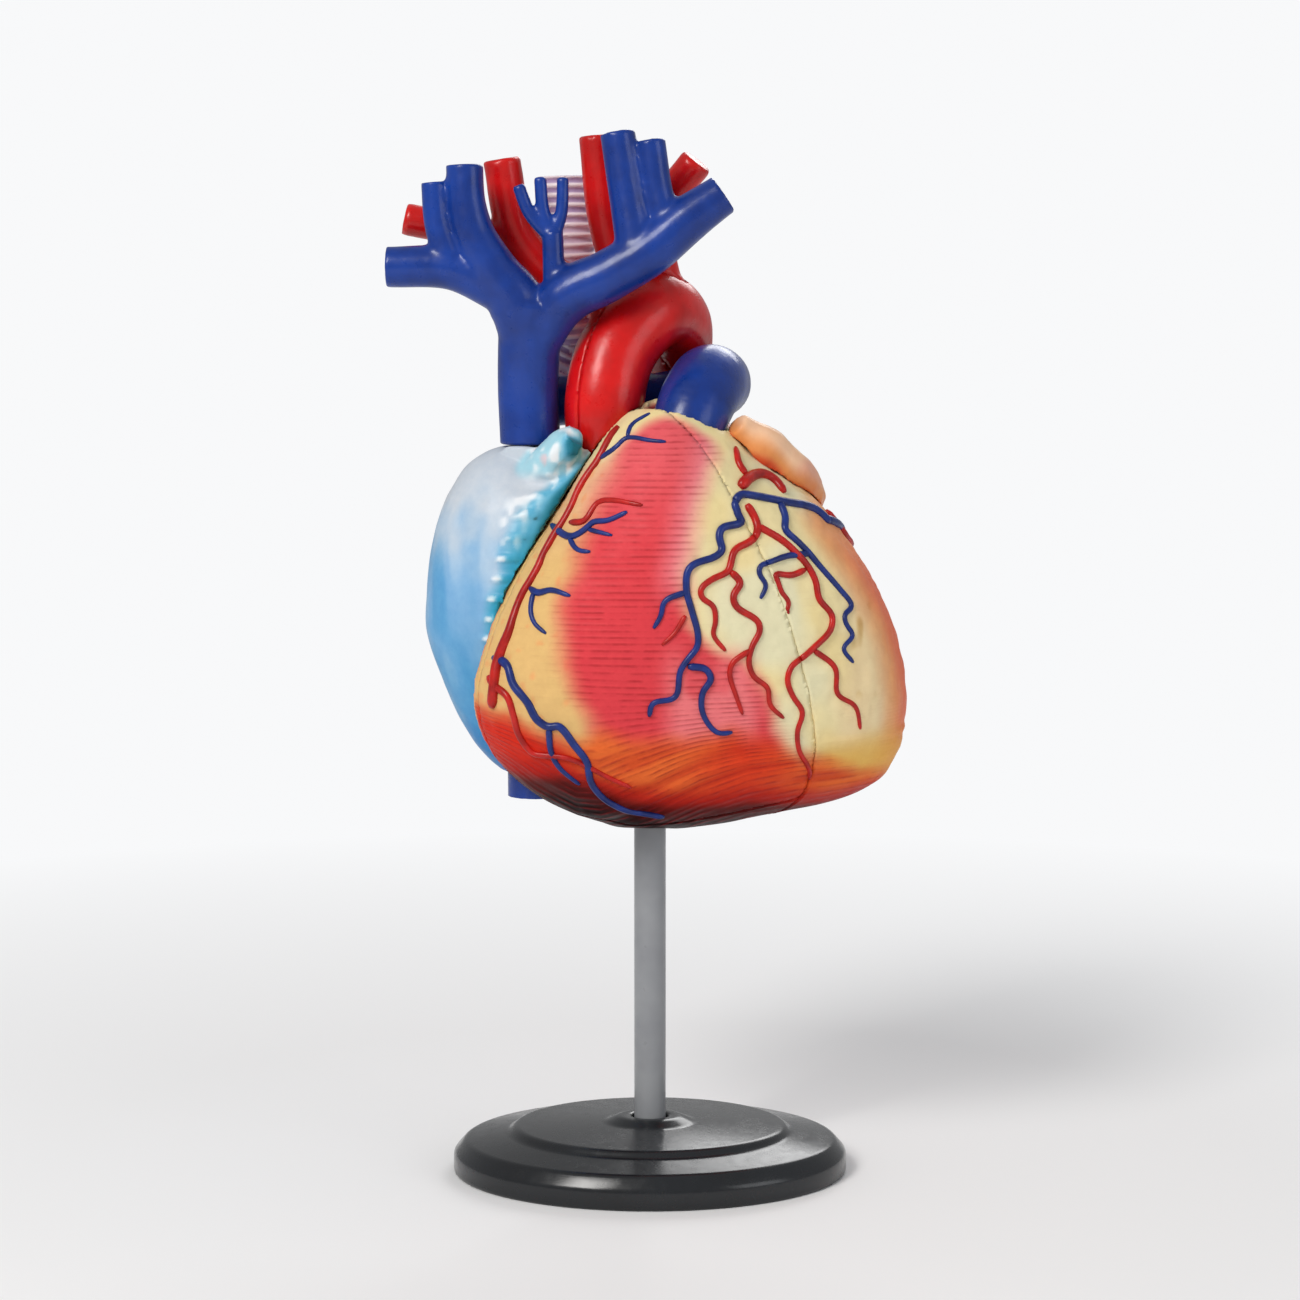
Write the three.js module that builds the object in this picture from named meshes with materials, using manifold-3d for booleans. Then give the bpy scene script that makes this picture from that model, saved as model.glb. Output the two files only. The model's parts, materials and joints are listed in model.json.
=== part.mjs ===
// Human heart anatomy model that takes apart, on its rod and oval base.
// Millimetres, +Z up, +X to the viewer's right, +Y away from the viewer.
// The origin is on the rod's axis, in the plane that the base rests on.

import * as THREE from "three";
import { mergeVertices } from "three/addons/utils/BufferGeometryUtils.js";
import Module from "manifold-3d";

const wasm = await Module();
wasm.setup();

// Fits
const fitGap = 0.3;
const halfGap = fitGap / 2;

// Stand
const baseLength = 50;
const baseWidth = 38;
const baseHeight = 7;
const baseWall = 1.7;
const baseEdgeHeight = 2.5;
const baseShoulderInset = 1.5;
const baseShoulderHeight = 4.2;
const plinthLength = 36;
const plinthFootHeight = 5;
const plinthStep = 0.9;
const baseCollarRadius = 4;
const baseCollarRise = 0.8;
const baseBossRadius = 4.6;
const baseRibCount = 6;
const baseRibThickness = 1.2;
const rodDiameter = 4;
const rodFloor = 2;
const heartHeight = 44;
const heartSocketDepth = 11;
const heartBossRadius = 4.2;

// Walls of the hollow pieces
const rightWall = 2.2;
const leftWall = 4;
const atriumWall = 1.9;
const vesselWall = 1.2;
const septumThickness = 3;
const plateThickness = 2;
const atrialSeptumThickness = 1.6;

// Square pegs that hold the covers
const pegSize = 2;
const pegLength = 2.4;
const pegBossSize = 4.4;
const pegBossDepth = 3.4;

// Valve openings
const tricuspidRadius = 7;
const mitralRadius = 5.6;
const outletRadius = 3.3;
const leafletThickness = 0.8;
const leafletSlit = 0.7;
const tricuspidDepth = 5;
const mitralDepth = 5;
const tricuspidLeaflets = 3;
const mitralLeaflets = 2;
const cuspHeight = 1.8;

// Chords between the papillary muscles and the valves
const chordRadius = 0.45;
const chordCount = 3;
const chordSpread = 0.4;

// Vessels raised on the ventricles, and folds along the edge of the right atrium
const grooveVesselRadius = 0.75;
const grooveVesselInset = 2;
const grooveVesselHeights = [47, 42, 37, 32, 27, 22, 17.5];
const reliefLift = 0.15;
const foldRadius = 1.5;
const foldRise = 0.5;
const foldInset = 2.3;
const foldPitch = 2.5;
const foldCount = 13;
const lowestFold = 14.5;

// Travel over which a piece that comes off has to pass its neighbours
const crownTravel = 15;
const wallTravel = 12;
const travelStep = 3;

// Facets
const vesselSides = 12;
const wideBranchSides = 10;
const narrowBranchSides = 8;
const wideBranchRadius = 2.6;
const reliefSides = 5;
const spanSteps = 2;

const UP = new THREE.Vector3(0, 0, 1);

function at(x, y, z) {
  return new THREE.Vector3(x, y, z);
}

// Solids

function solid(geometry) {
  const bare = geometry.clone();
  bare.deleteAttribute("normal");
  bare.deleteAttribute("uv");
  const merged = mergeVertices(bare, 1e-4);
  const mesh = new wasm.Mesh({
    numProp: 3,
    vertProperties: new Float32Array(merged.attributes.position.array),
    triVerts: new Uint32Array(merged.index.array),
  });
  return new wasm.Manifold(mesh);
}

function geometryOf(body) {
  const mesh = body.getMesh();
  const geometry = new THREE.BufferGeometry();
  const places = new Float32Array(mesh.vertProperties);
  geometry.setAttribute("position", new THREE.BufferAttribute(places, 3));
  geometry.setIndex(new THREE.BufferAttribute(new Uint32Array(mesh.triVerts), 1));
  geometry.computeVertexNormals();
  return geometry;
}

function joined(bodies) {
  return bodies.reduce((whole, body) => whole.add(body));
}

function largest(body) {
  const pieces = body.decompose();
  return pieces.reduce((best, piece) => (piece.volume() > best.volume() ? piece : best));
}

// A closed skin through rings of points, closed at both ends
function loft(rings, start, end) {
  const count = rings[0].length;
  const points = rings.flat();
  const first = points.length;
  points.push(start, end);
  const faces = [];
  for (let ring = 0; ring < rings.length - 1; ring += 1) {
    for (let side = 0; side < count; side += 1) {
      const next = (side + 1) % count;
      const a = ring * count + side;
      const b = ring * count + next;
      faces.push(a, b, a + count, b, b + count, a + count);
    }
  }
  const last = (rings.length - 1) * count;
  for (let side = 0; side < count; side += 1) {
    const next = (side + 1) % count;
    faces.push(first, next, side);
    faces.push(first + 1, last + side, last + next);
  }
  const geometry = new THREE.BufferGeometry();
  const flat = points.flatMap((point) => point.toArray());
  geometry.setAttribute("position", new THREE.Float32BufferAttribute(flat, 3));
  geometry.setIndex(faces);
  const body = solid(geometry);
  if (body.volume() > 0) {
    return body;
  }
  geometry.setIndex(faces.reverse());
  return solid(geometry);
}

function centreOf(ring) {
  const sum = ring.reduce((total, point) => total.add(point), at(0, 0, 0));
  return sum.divideScalar(ring.length);
}

// Rings of a section that follows a curve without twisting
function sweepRings(path, steps, section) {
  const curve = new THREE.CatmullRomCurve3(path, false, "centripetal");
  const rings = [];
  let across = null;
  for (let step = 0; step <= steps; step += 1) {
    const t = step / steps;
    const centre = curve.getPoint(t);
    const along = curve.getTangent(t);
    if (!across) {
      across = Math.abs(along.x) < 0.8 ? at(1, 0, 0) : at(0, 1, 0);
    }
    across = across.clone().addScaledVector(along, -across.dot(along)).normalize();
    const beside = along.clone().cross(across);
    const points = section(t).map(([u, v]) =>
      centre.clone().addScaledVector(across, u).addScaledVector(beside, v));
    rings.push(points);
  }
  return rings;
}

function radiusAlong(radii, t) {
  const place = t * (radii.length - 1);
  const index = Math.min(Math.floor(place), radii.length - 2);
  return THREE.MathUtils.lerp(radii[index], radii[index + 1], place - index);
}

function circle(radius, sides) {
  return Array.from({ length: sides }, (_, index) => {
    const angle = (2 * Math.PI * index) / sides;
    return [radius * Math.cos(angle), radius * Math.sin(angle)];
  });
}

// A round vessel through points given as [x, y, z, radius]
function vessel(points, { grow = 0, sides = vesselSides, stepsPerSpan = spanSteps } = {}) {
  const path = points.map(([x, y, z]) => at(x, y, z));
  const radii = points.map((point) => point[3] + grow);
  const steps = stepsPerSpan * (points.length - 1);
  const rings = sweepRings(path, steps, (t) => circle(radiusAlong(radii, t), sides));
  return loft(rings, centreOf(rings[0]), centreOf(rings[rings.length - 1]));
}

function branch(points, grow = 0) {
  const sides = points[0][3] > wideBranchRadius ? wideBranchSides : narrowBranchSides;
  return vessel(points, { grow, sides });
}

function disc(radius, bottom, top, x = 0, y = 0, sides = 24) {
  const geometry = new THREE.CylinderGeometry(radius, radius, top - bottom, sides);
  geometry.rotateX(Math.PI / 2);
  geometry.translate(x, y, (bottom + top) / 2);
  return solid(geometry);
}

function revolved(profile, sides = 32) {
  const geometry = new THREE.LatheGeometry(profile.map(([r, z]) => new THREE.Vector2(r, z)), sides);
  geometry.rotateX(Math.PI / 2);
  const body = solid(geometry);
  if (body.volume() > 0) {
    return body;
  }
  geometry.setIndex(Array.from(geometry.index.array).reverse());
  return solid(geometry);
}

function block(width, depth, height, centre) {
  const geometry = new THREE.BoxGeometry(width, depth, height);
  geometry.translate(centre.x, centre.y, centre.z);
  return solid(geometry);
}

// Planes, as a unit normal and a distance

function planeThrough(points, towards) {
  const [a, b, c] = points.map((point) => at(...point));
  const normal = b.clone().sub(a).cross(c.clone().sub(a)).normalize();
  if (normal.dot(towards) < 0) {
    normal.negate();
  }
  return { normal, distance: normal.dot(a) };
}

function planeAcross(direction, point) {
  const normal = direction.clone().normalize();
  return { normal, distance: normal.dot(point) };
}

const FAR = 260;

// The space beyond a plane, on the side that its normal points to
function beyond(plane, offset = 0) {
  const geometry = new THREE.BoxGeometry(FAR, FAR, FAR);
  geometry.translate(0, 0, FAR / 2 + plane.distance + offset);
  geometry.applyQuaternion(new THREE.Quaternion().setFromUnitVectors(UP, plane.normal));
  return solid(geometry);
}

function before(plane, offset = 0) {
  const flipped = { normal: plane.normal.clone().negate(), distance: -plane.distance };
  return beyond(flipped, -offset);
}

function yOn(plane, x, z) {
  return (plane.distance - plane.normal.x * x - plane.normal.z * z) / plane.normal.y;
}

function pointOn(plane, x, z) {
  return at(x, yOn(plane, x, z), z);
}

// The mesh of a solid's skin, and the place where a ray first meets it
function skinOf(body) {
  return new THREE.Mesh(geometryOf(body), new THREE.MeshBasicMaterial({ side: THREE.DoubleSide }));
}

function onSkin(skin, origin, direction) {
  const ray = new THREE.Raycaster(origin, direction.clone().normalize());
  return ray.intersectObject(skin)[0].point;
}

// Turns a solid made about +Z so that it points along a direction, and places it
function aimed(body, direction, place) {
  const turn = new THREE.Quaternion().setFromUnitVectors(UP, direction.clone().normalize());
  const matrix = new THREE.Matrix4().compose(place, turn, at(1, 1, 1));
  const geometry = geometryOf(body);
  geometry.applyMatrix4(matrix);
  return solid(geometry);
}

// The room that a solid takes up while it moves along a direction
function swept(body, direction, travel) {
  const steps = Math.round(travel / travelStep);
  const copies = [];
  for (let step = 0; step <= steps; step += 1) {
    const shift = direction.clone().multiplyScalar((travel * step) / steps);
    copies.push(body.translate(shift.toArray()));
  }
  return joined(copies);
}

// Rounded forms: an outline seen from the front, swelled to the front and to the back

function inflated(form, inset = 0) {
  const curve = new THREE.CatmullRomCurve3(
    form.outline.map(([x, z]) => at(x, 0, z)), true, "centripetal");
  const centre = at(form.centre[0], 0, form.centre[1]);
  const outline = curve.getSpacedPoints(form.facets).slice(0, form.facets);
  const spokes = outline.map((point) => {
    const spoke = point.clone().sub(centre);
    return spoke.multiplyScalar(1 - inset / spoke.length());
  });
  const rings = [];
  const steps = form.steps;
  for (let step = 1; step < steps; step += 1) {
    const latitude = Math.PI * (step / steps - 0.5);
    const spread = Math.cos(latitude) ** form.fullness;
    const swell = Math.sign(latitude) * Math.abs(Math.sin(latitude)) ** form.fullness;
    const depth = (latitude < 0 ? form.front : form.back) - inset;
    rings.push(spokes.map((spoke) => {
      const point = centre.clone().addScaledVector(spoke, spread);
      point.y = form.middle + form.lean * (point.x - centre.x) + depth * swell;
      return point;
    }));
  }
  const frontPole = at(centre.x, form.middle - form.front + inset, centre.z);
  const backPole = at(centre.x, form.middle + form.back - inset, centre.z);
  return loft(rings, frontPole, backPole);
}

const ventricles = {
  outline: [
    [1.9, 54.1], [8, 51.5], [13.5, 46.8], [20.6, 41.4], [24.8, 36.3], [28.1, 31.3], [30.8, 25.4],
    [32.5, 17], [31.3, 9.3], [28.4, 5.4], [22, 3.1], [14, 1.7], [2, 0.2], [-6, 1.1], [-13, 4],
    [-18, 8.2], [-20.8, 12.5], [-22, 18], [-20.6, 24], [-17, 32], [-12.4, 39], [-7.6, 46.4],
    [-3.8, 51.3],
  ],
  centre: [5, 26],
  middle: 0,
  lean: 0.15,
  front: 18,
  back: 18,
  fullness: 0.87,
  facets: 34,
  steps: 13,
};

const rightAtrium = {
  outline: [
    [-9.5, 50.5], [-12, 49], [-15, 48], [-19, 47.8], [-22, 46.3], [-24.4, 43.5], [-26.8, 38],
    [-28.1, 31.5], [-28.1, 24.5], [-26, 18], [-23.5, 12.5], [-20, 8], [-15.5, 5.5], [-10, 6.5],
    [-6, 14], [-2, 24], [1, 36], [0, 46], [-4, 50.5],
  ],
  centre: [-14, 28],
  middle: 4,
  lean: 0,
  front: 11.5,
  back: 14,
  fullness: 0.87,
  facets: 26,
  steps: 10,
};

const leftAtrium = {
  outline: [[6, 51], [13, 49.5], [18.5, 45], [21, 38], [18.5, 30], [12, 24.5], [6, 23], [-1, 25],
    [-7, 31], [-9, 38], [-6.5, 45], [-1, 49.5]],
  centre: [6, 38],
  middle: 15,
  lean: 0,
  front: 10,
  back: 9,
  fullness: 0.85,
  facets: 20,
  steps: 8,
};

// Points on the planes that part the heart
const groovePoints = [[-3.5, -2, 51], [-21.3, -10, 16], [20, 21, 20]];
const septalPoints = [[10.4, -14, 43], [19.7, -10, 7.6], [0, 8, 21]];
const coronalPoints = [[0, -8, 1], [10, -8, 1], [0, 1.36, 40]];
const rightCoverPoint = [-10.1, 5, 28];
const interatrialPoint = [-4, 14, 30];
const leftCoverPoint = [0, 17, 0];
const aortaSeamPoint = [-5.5, 2.4, 50];

const groovePlane = planeThrough(groovePoints, at(-1, 1, 0));
const septalPlane = planeThrough(septalPoints, at(1, 1, 0));
const coronalPlane = planeThrough(coronalPoints, at(0, -1, 0));
const alongGroove = at(groovePlane.normal.y, -groovePlane.normal.x, 0).normalize();
const rightCoverPlane = planeAcross(alongGroove, at(...rightCoverPoint));
const interatrialPlane = planeAcross(alongGroove, at(...interatrialPoint));
const leftCoverPlane = planeAcross(at(0, 1, 0), at(...leftCoverPoint));
const aortaSeam = planeAcross(at(0.787, -0.617, 0), at(...aortaSeamPoint));

// Directions in which the pieces come off
const crownDirection = at(-0.49, -0.156, 0.857).normalize();
const frontPull = at(0, -1, 0);
const leftPull = at(0.68, 0, -0.733).normalize();

// Vessels, as centre line points with their radii
const aortaLine = [
  [2, 4.6, 36, 4.4], [-0.6, 7, 38, 4.4], [-3.6, 5.2, 42.6, 4.6], [-5.4, 2.4, 48, 4.8],
  [-5.7, 1.8, 53.5, 5], [-4, 3.5, 60, 5], [0.6, 7, 64.8, 4.9], [3.2, 12, 63.4, 4.6],
  [3.7, 16.9, 58.4, 4.3], [3.7, 18.6, 52.8, 4.2],
];
const aortaLumen = [...aortaLine, [3.7, 19, 50.8, 4.2]];
const trunkLine = [
  [3.2, -5.4, 43, 4], [3.9, -3.4, 48, 4.3], [5.6, -1, 53, 4.7], [7.2, 3.2, 55.6, 4.8],
  [8.2, 8, 55.9, 4.5], [8.8, 14, 55.4, 4.2],
];
const trunkRootPoint = [2.8, -6.6, 40, 4];
const rightPulmonaryLine = [
  [6.5, 8, 54.6, 3.4], [0, 11, 53.9, 3], [-8, 11.9, 53.6, 3.1], [-17.6, 12.4, 53, 3.2],
];
const headArteries = [
  [[-2, 6, 64.5, 3], [-8, 7, 67, 2.8], [-13.5, 7, 70, 2.6], [-17, 7, 75, 2.4],
    [-18.6, 6.5, 83.7, 2.35]],
  [[-13.5, 7, 70, 2.2], [-22, 7, 74.3, 2.1], [-30.8, 6.5, 76.3, 2]],
  [[-0.5, 8, 66, 2.4], [-3.6, 7.5, 70, 2.3], [-5.6, 7, 76, 2.2], [-6.7, 6.5, 86.6, 2.2]],
  [[2.5, 9, 66, 2.3], [1.2, 8.5, 71.5, 2.2], [1.6, 7.5, 77.5, 2.1], [5.9, 6, 83.4, 2.1]],
];
const veinLines = [
  [[-15, 3, 48.3, 3.8], [-15.2, 2.6, 55, 3.8], [-15, 1.6, 61, 3.9], [-14.6, 0.8, 66, 4]],
  [[-14.6, 0.8, 61, 3.5], [-10.6, -0.4, 66.2, 3.4], [-5.2, -1.5, 69, 3.2], [-0.1, -2, 72, 3.1],
    [4.8, -2, 76, 2.9], [9, -2, 78.9, 2.5]],
  [[-15, 1, 61, 3.9], [-16.4, 0.5, 65.5, 3.6], [-19.2, -0.1, 69.5, 3.1], [-21.6, -0.4, 74, 2.6],
    [-22.6, -0.5, 78, 2.35], [-22.8, -0.5, 82.5, 2.25]],
  [[-17.5, 0.3, 67, 3], [-24.5, 0.3, 69.9, 2.65], [-32.6, 0.3, 70.1, 2.5]],
  [[-24.3, -0.3, 69.8, 1.9], [-26.1, -0.3, 75, 1.65], [-26.6, -0.3, 80.4, 1.6]],
  [[-1.5, -2, 71.5, 2.6], [-2.6, -1.6, 78, 2.3], [-4, -1.2, 86.4, 2.15]],
  [[2.2, -2, 75, 2], [1, -1.8, 79, 1.9], [0, -1.6, 85.4, 1.85]],
];
const thyroidVeins = [
  [[-11.8, -0.8, 67.5, 1.4], [-11.9, -0.8, 71, 1.35], [-12, -0.8, 74.3, 1.3]],
  [[-12, -0.8, 73.5, 0.9], [-14.8, -0.8, 76.6, 0.8], [-16.2, -0.8, 80, 0.75]],
  [[-12, -0.8, 73.5, 0.9], [-13.1, -0.8, 76.8, 0.8], [-13.5, -0.8, 81, 0.75]],
  [[-12, -0.8, 73.5, 0.9], [-10.9, -0.8, 76.8, 0.8], [-10.7, -0.8, 81, 0.75]],
];
const windpipe = {
  line: [[-10.8, 14.6, 82], [-10.6, 14.8, 71], [-9.8, 16.2, 61]],
  radius: 3.5, rib: 0.35, ribs: 16,
};
const rightBronchus = {
  line: [[-10, 16.4, 62], [-13.2, 17.8, 56.5], [-17.2, 18.6, 52.5]],
  radius: 2.2, rib: 0.3, ribs: 7,
};
const leftBronchus = {
  line: [[-9.6, 16.4, 62], [-6.6, 17.8, 58], [-4.2, 18.6, 55.6]],
  radius: 2, rib: 0.3, ribs: 5,
};
const auricleLine = [
  [10.6, -3.6, 50.6, 1.6], [12.6, -2.6, 48.8, 2.7], [15.6, -0.6, 46, 3.3], [18, 2.4, 43.2, 3.3],
  [18.6, 7, 41.8, 3.8], [16, 11.5, 41.4, 4.2], [13.5, 13.5, 41, 4.2],
];
const auricleTipLine = [
  [-14, -1.6, 43.6, 2.4], [-11.4, -3.6, 46.8, 2.1], [-9.2, -4.9, 49.2, 1.5],
];
const cavaLine = [[-14.5, 4.2, 3.5, 3.6], [-14.5, 4.2, 6.2, 3.6], [-14.5, 4.2, 9, 3.6]];
const lungVeins = {
  left_upper: [[14, 19.4, 41, 2.2], [18, 19.2, 41.6, 2.2], [21.5, 19, 42.2, 2.2]],
  left_lower: [[14, 19.4, 33.5, 2.2], [18, 19.2, 33, 2.2], [21.5, 19, 32.4, 2.2]],
  right_upper: [[-2, 19.4, 41, 2.2], [-6.5, 20.6, 41.8, 2.2], [-10.5, 21.6, 42.4, 2.2]],
  right_lower: [[-2, 19.4, 33.5, 2.2], [-6.5, 20.6, 33, 2.2], [-10.5, 21.6, 32.4, 2.2]],
};
// Vessels raised on the front, as first and last radius and places [x, z] that they pass
const raisedVessels = [
  { radii: [0.5, 0.35], route: [[20, 40.5], [16.1, 41.5], [10.8, 42.5], [11.1, 39.4], [8.4, 36.6],
    [4.7, 34.2], [4.9, 29.3], [5.6, 24.7], [3, 18.7], [-0.1, 16.4]] },
  { radii: [0.45, 0.3], route: [[15.8, 41.4], [16.2, 38.4], [20.5, 33.8], [24.6, 28.7], [24.7, 22.1]] },
  { radii: [0.45, 0.3], route: [[11.6, 41.4], [12.9, 38.2], [9.6, 34.5], [6, 31.6], [7.6, 28],
    [9, 24.2]] },
  { radii: [0.4, 0.3], route: [[9.6, 33.6], [9.9, 30.8], [12.9, 27], [11.8, 22.7], [16.1, 15.8]] },
  { radii: [0.45, 0.3], route: [[12.9, 38.8], [17.5, 35.6], [20.4, 29.9], [21.8, 26.2], [16.5, 20.8],
    [18.4, 16.4], [18, 12], [19.8, 7.8]] },
  { radii: [0.45, 0.35], route: [[-18.4, 22.7], [-16.4, 20], [-13.5, 15.8], [-9, 12.7], [-5.4, 5.6]] },
  { radii: [0.42, 0.3], route: [[-18.6, 19.4], [-16.4, 16.3], [-14.1, 11.5], [-9.6, 11], [-2.3, 7.3]] },
];

const superiorCollar = { x: -15, y: 3, radius: 4.8, bottom: 43, top: 48 };
const inferiorCollar = { x: -14.5, y: 4.2, radius: 4.4, bottom: 9.3, top: 15 };

// Places on the planes, across and up: the valves, and the pegs of the right ventricle's wall
const tricuspidPlace = [-8.6, 21];
const mitralPlace = [8.2, 27];
const aorticPlace = [2, 36];
const pegPlacesAcross = [[-11, 6.6], [7.2, 5.4]];

const tricuspidCentre = pointOn(groovePlane, ...tricuspidPlace);
const mitralCentre = pointOn(groovePlane, ...mitralPlace);
const aorticCentre = pointOn(groovePlane, ...aorticPlace);

// Materials, with the colours of the painted plastic
const paint = {
  arteryRed: { color: 0xd3211c, roughness: 0.3 },
  veinBlue: { color: 0x1f3f9f, roughness: 0.3 },
  paleBlue: { color: 0x7fc0e6, roughness: 0.4 },
  heartPink: { color: 0xe0705e, roughness: 0.42 },
  fatCream: { color: 0xe9d9a2, roughness: 0.42 },
  innerPeach: { color: 0xf0b08c, roughness: 0.5 },
  liningYellow: { color: 0xeedd6a, roughness: 0.5 },
  muscleRed: { color: 0xa1343a, roughness: 0.5 },
  valveWhite: { color: 0xf1ece2, roughness: 0.45 },
  cartilage: { color: 0xe9e6ee, roughness: 0.45 },
  rodGrey: { color: 0x8f9194, roughness: 0.4 },
  baseBlack: { color: 0x15171a, roughness: 0.25 },
};

const model = new THREE.Group();
const heart = new THREE.Group();
heart.position.z = heartHeight;
model.add(heart);

function addPiece(group, name, body, finish) {
  const mesh = new THREE.Mesh(geometryOf(body), new THREE.MeshStandardMaterial(paint[finish]));
  mesh.name = name;
  group.add(mesh);
}

// Stand

function standBase() {
  const half = baseLength / 2;
  const plinth = plinthLength / 2;
  const collarFoot = baseHeight - baseCollarRise;
  const outer = revolved([
    [0, 0], [half, 0], [half, baseEdgeHeight], [half - baseShoulderInset, baseShoulderHeight],
    [plinth, plinthFootHeight], [plinth - plinthStep, plinthFootHeight + plinthStep],
    [baseCollarRadius + 2 * plinthStep, collarFoot], [baseCollarRadius, baseHeight], [0, baseHeight],
  ], 32);
  const inner = revolved([
    [0, -1], [half - baseWall, -1], [half - baseWall, baseEdgeHeight - 0.3 * baseWall],
    [half - baseShoulderInset - baseWall, baseShoulderHeight - baseWall],
    [plinth, plinthFootHeight - baseWall], [0, plinthFootHeight - baseWall],
  ], 32);
  const ratio = [1, baseWidth / baseLength, 1];
  let base = outer.scale(ratio).subtract(inner.scale(ratio));
  const ribTop = plinthFootHeight - baseWall / 2;
  const ribFoot = 1;
  const ribs = [];
  for (let index = 0; index < baseRibCount / 2; index += 1) {
    const middle = at(0, 0, (ribTop + ribFoot) / 2);
    const rib = block(baseLength - baseWall, baseRibThickness, ribTop - ribFoot, middle);
    ribs.push(rib.rotate([0, 0, (360 * index) / baseRibCount]));
  }
  const within = disc(half - baseWall / 2, 0, baseShoulderHeight - baseWall, 0, 0, 32).scale(ratio);
  base = base.add(joined(ribs).intersect(within));
  base = base.add(disc(baseBossRadius, 0, baseHeight - baseWall / 2));
  return base.subtract(disc(rodDiameter / 2 + fitGap, rodFloor - fitGap, baseHeight + 1));
}

const rodTop = heartHeight + heartSocketDepth;
addPiece(model, "stand_base", standBase(), "baseBlack");
addPiece(model, "stand_rod", disc(rodDiameter / 2, rodFloor, rodTop), "rodGrey");

// Ventricles

const outerBody = inflated(ventricles);
const ventricleSkin = skinOf(outerBody);
const towardsAtrium = alongGroove.clone().negate();

function raisedVessel({ radii, route }, grow = 0) {
  const backwards = frontPull.clone().negate();
  const points = route.map(([x, z], index) => {
    const place = onSkin(ventricleSkin, at(x, -FAR, z), backwards);
    place.addScaledVector(frontPull, reliefLift);
    const radius = THREE.MathUtils.lerp(radii[0], radii[1], index / (route.length - 1));
    return [...place.toArray(), radius];
  });
  return vessel(points, { grow, sides: reliefSides });
}

// Places on a skin where it meets a plane parallel to the groove, at given heights
function besideGroove(skin, offset, x, heights) {
  const plane = { normal: groovePlane.normal, distance: groovePlane.distance + offset };
  return heights.map((z) => onSkin(skin, pointOn(plane, x, z), towardsAtrium));
}

function grooveVessel(grow = 0) {
  const places = besideGroove(ventricleSkin, -grooveVesselInset, 0, grooveVesselHeights);
  const points = places.map((place) => [...place.toArray(), grooveVesselRadius]);
  return vessel(points, { grow, sides: reliefSides });
}

const relief = (grow) => joined([
  grooveVessel(grow), ...raisedVessels.map((entry) => raisedVessel(entry, grow))]);
const raisedBody = outerBody.add(relief(0));
const reliefRoom = relief(fitGap);
const rightHollow = inflated(ventricles, rightWall);
const leftHollow = inflated(ventricles, leftWall);
const inGroove = before(groovePlane, -halfGap);
const rightSide = before(septalPlane, 0);
const leftSide = beyond(septalPlane, fitGap);
const frontSide = beyond(coronalPlane, halfGap);
const backSide = before(coronalPlane, -halfGap);

// Room for the pulmonary trunk behind the front wall, which comes off forwards
const trunkRoom = vessel([trunkRootPoint, ...trunkLine], { grow: fitGap });
const trunkPassage = swept(trunkRoom, frontPull.clone().negate(), wallTravel);
const trunkPassageFromLeft = swept(trunkRoom, leftPull.clone().negate(), wallTravel);

// Room for the foot of the aorta, also while the crown of vessels is lifted off
const aortaRoom = vessel(aortaLine, { grow: fitGap })
  .add(swept(vessel(aortaLine.slice(0, 5), { grow: fitGap }), crownDirection, crownTravel));

function rodSocket() {
  const top = heartSocketDepth + 1.2;
  const boss = disc(heartBossRadius, 0, top).intersect(outerBody);
  const hole = disc(rodDiameter / 2 + fitGap, -2, heartSocketDepth + fitGap);
  return { boss, hole };
}

const rightShell = raisedBody.subtract(rightHollow).intersect(inGroove).intersect(rightSide);
const leftShell = raisedBody.subtract(leftHollow)
  .intersect(inGroove)
  .intersect(leftSide)
  .subtract(trunkPassageFromLeft);
const socket = rodSocket();

// Peg places on the seam between the front and the back of the right ventricle
const pegPlaces = pegPlacesAcross.map(([x, z]) => pointOn(coronalPlane, x, z));

function pegsAt(places, size, length, reach) {
  return joined(places.map((place) => block(size, length, size, at(place.x, place.y + reach, place.z))));
}

function bossesAt(places, behind) {
  const shift = (behind * pegBossDepth) / 2;
  const bosses = joined(places.map((place) =>
    block(pegBossSize, pegBossDepth, pegBossSize, at(place.x, place.y + shift, place.z))));
  return bosses.intersect(outerBody).intersect(rightSide).intersect(inGroove);
}

const pegReach = pegLength / 2 - 0.6;

function rightFrontWall() {
  const shell = rightShell.add(bossesAt(pegPlaces, -1)).intersect(frontSide).subtract(trunkPassage);
  return largest(shell).add(pegsAt(pegPlaces, pegSize, pegLength, pegReach));
}

function rightBackWall() {
  const shell = rightShell.add(bossesAt(pegPlaces, 1)).intersect(backSide);
  const pegRoom = pegsAt(pegPlaces, pegSize + 2 * fitGap, pegLength + 2 * fitGap, pegReach);
  return largest(shell.add(socket.boss).subtract(socket.hole).subtract(pegRoom).subtract(trunkPassage));
}

const frontWall = rightFrontWall();
const backWall = rightBackWall();
const rightCavity = inflated(ventricles, rightWall + fitGap);
const leftCavity = inflated(ventricles, leftWall + fitGap);
const septum = largest(rightCavity
  .intersect(before(septalPlane, 0))
  .intersect(beyond(septalPlane, -septumThickness))
  .intersect(inGroove)
  .subtract(trunkRoom));

addPiece(heart, "rv_front_wall", frontWall, "heartPink");
addPiece(heart, "lv_wall", largest(leftShell), "fatCream");
addPiece(heart, "rv_back_wall", backWall, "heartPink");
addPiece(heart, "ventricular_septum", septum, "innerPeach");

// Plate that carries the valves, between the ventricles and the atria

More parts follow.
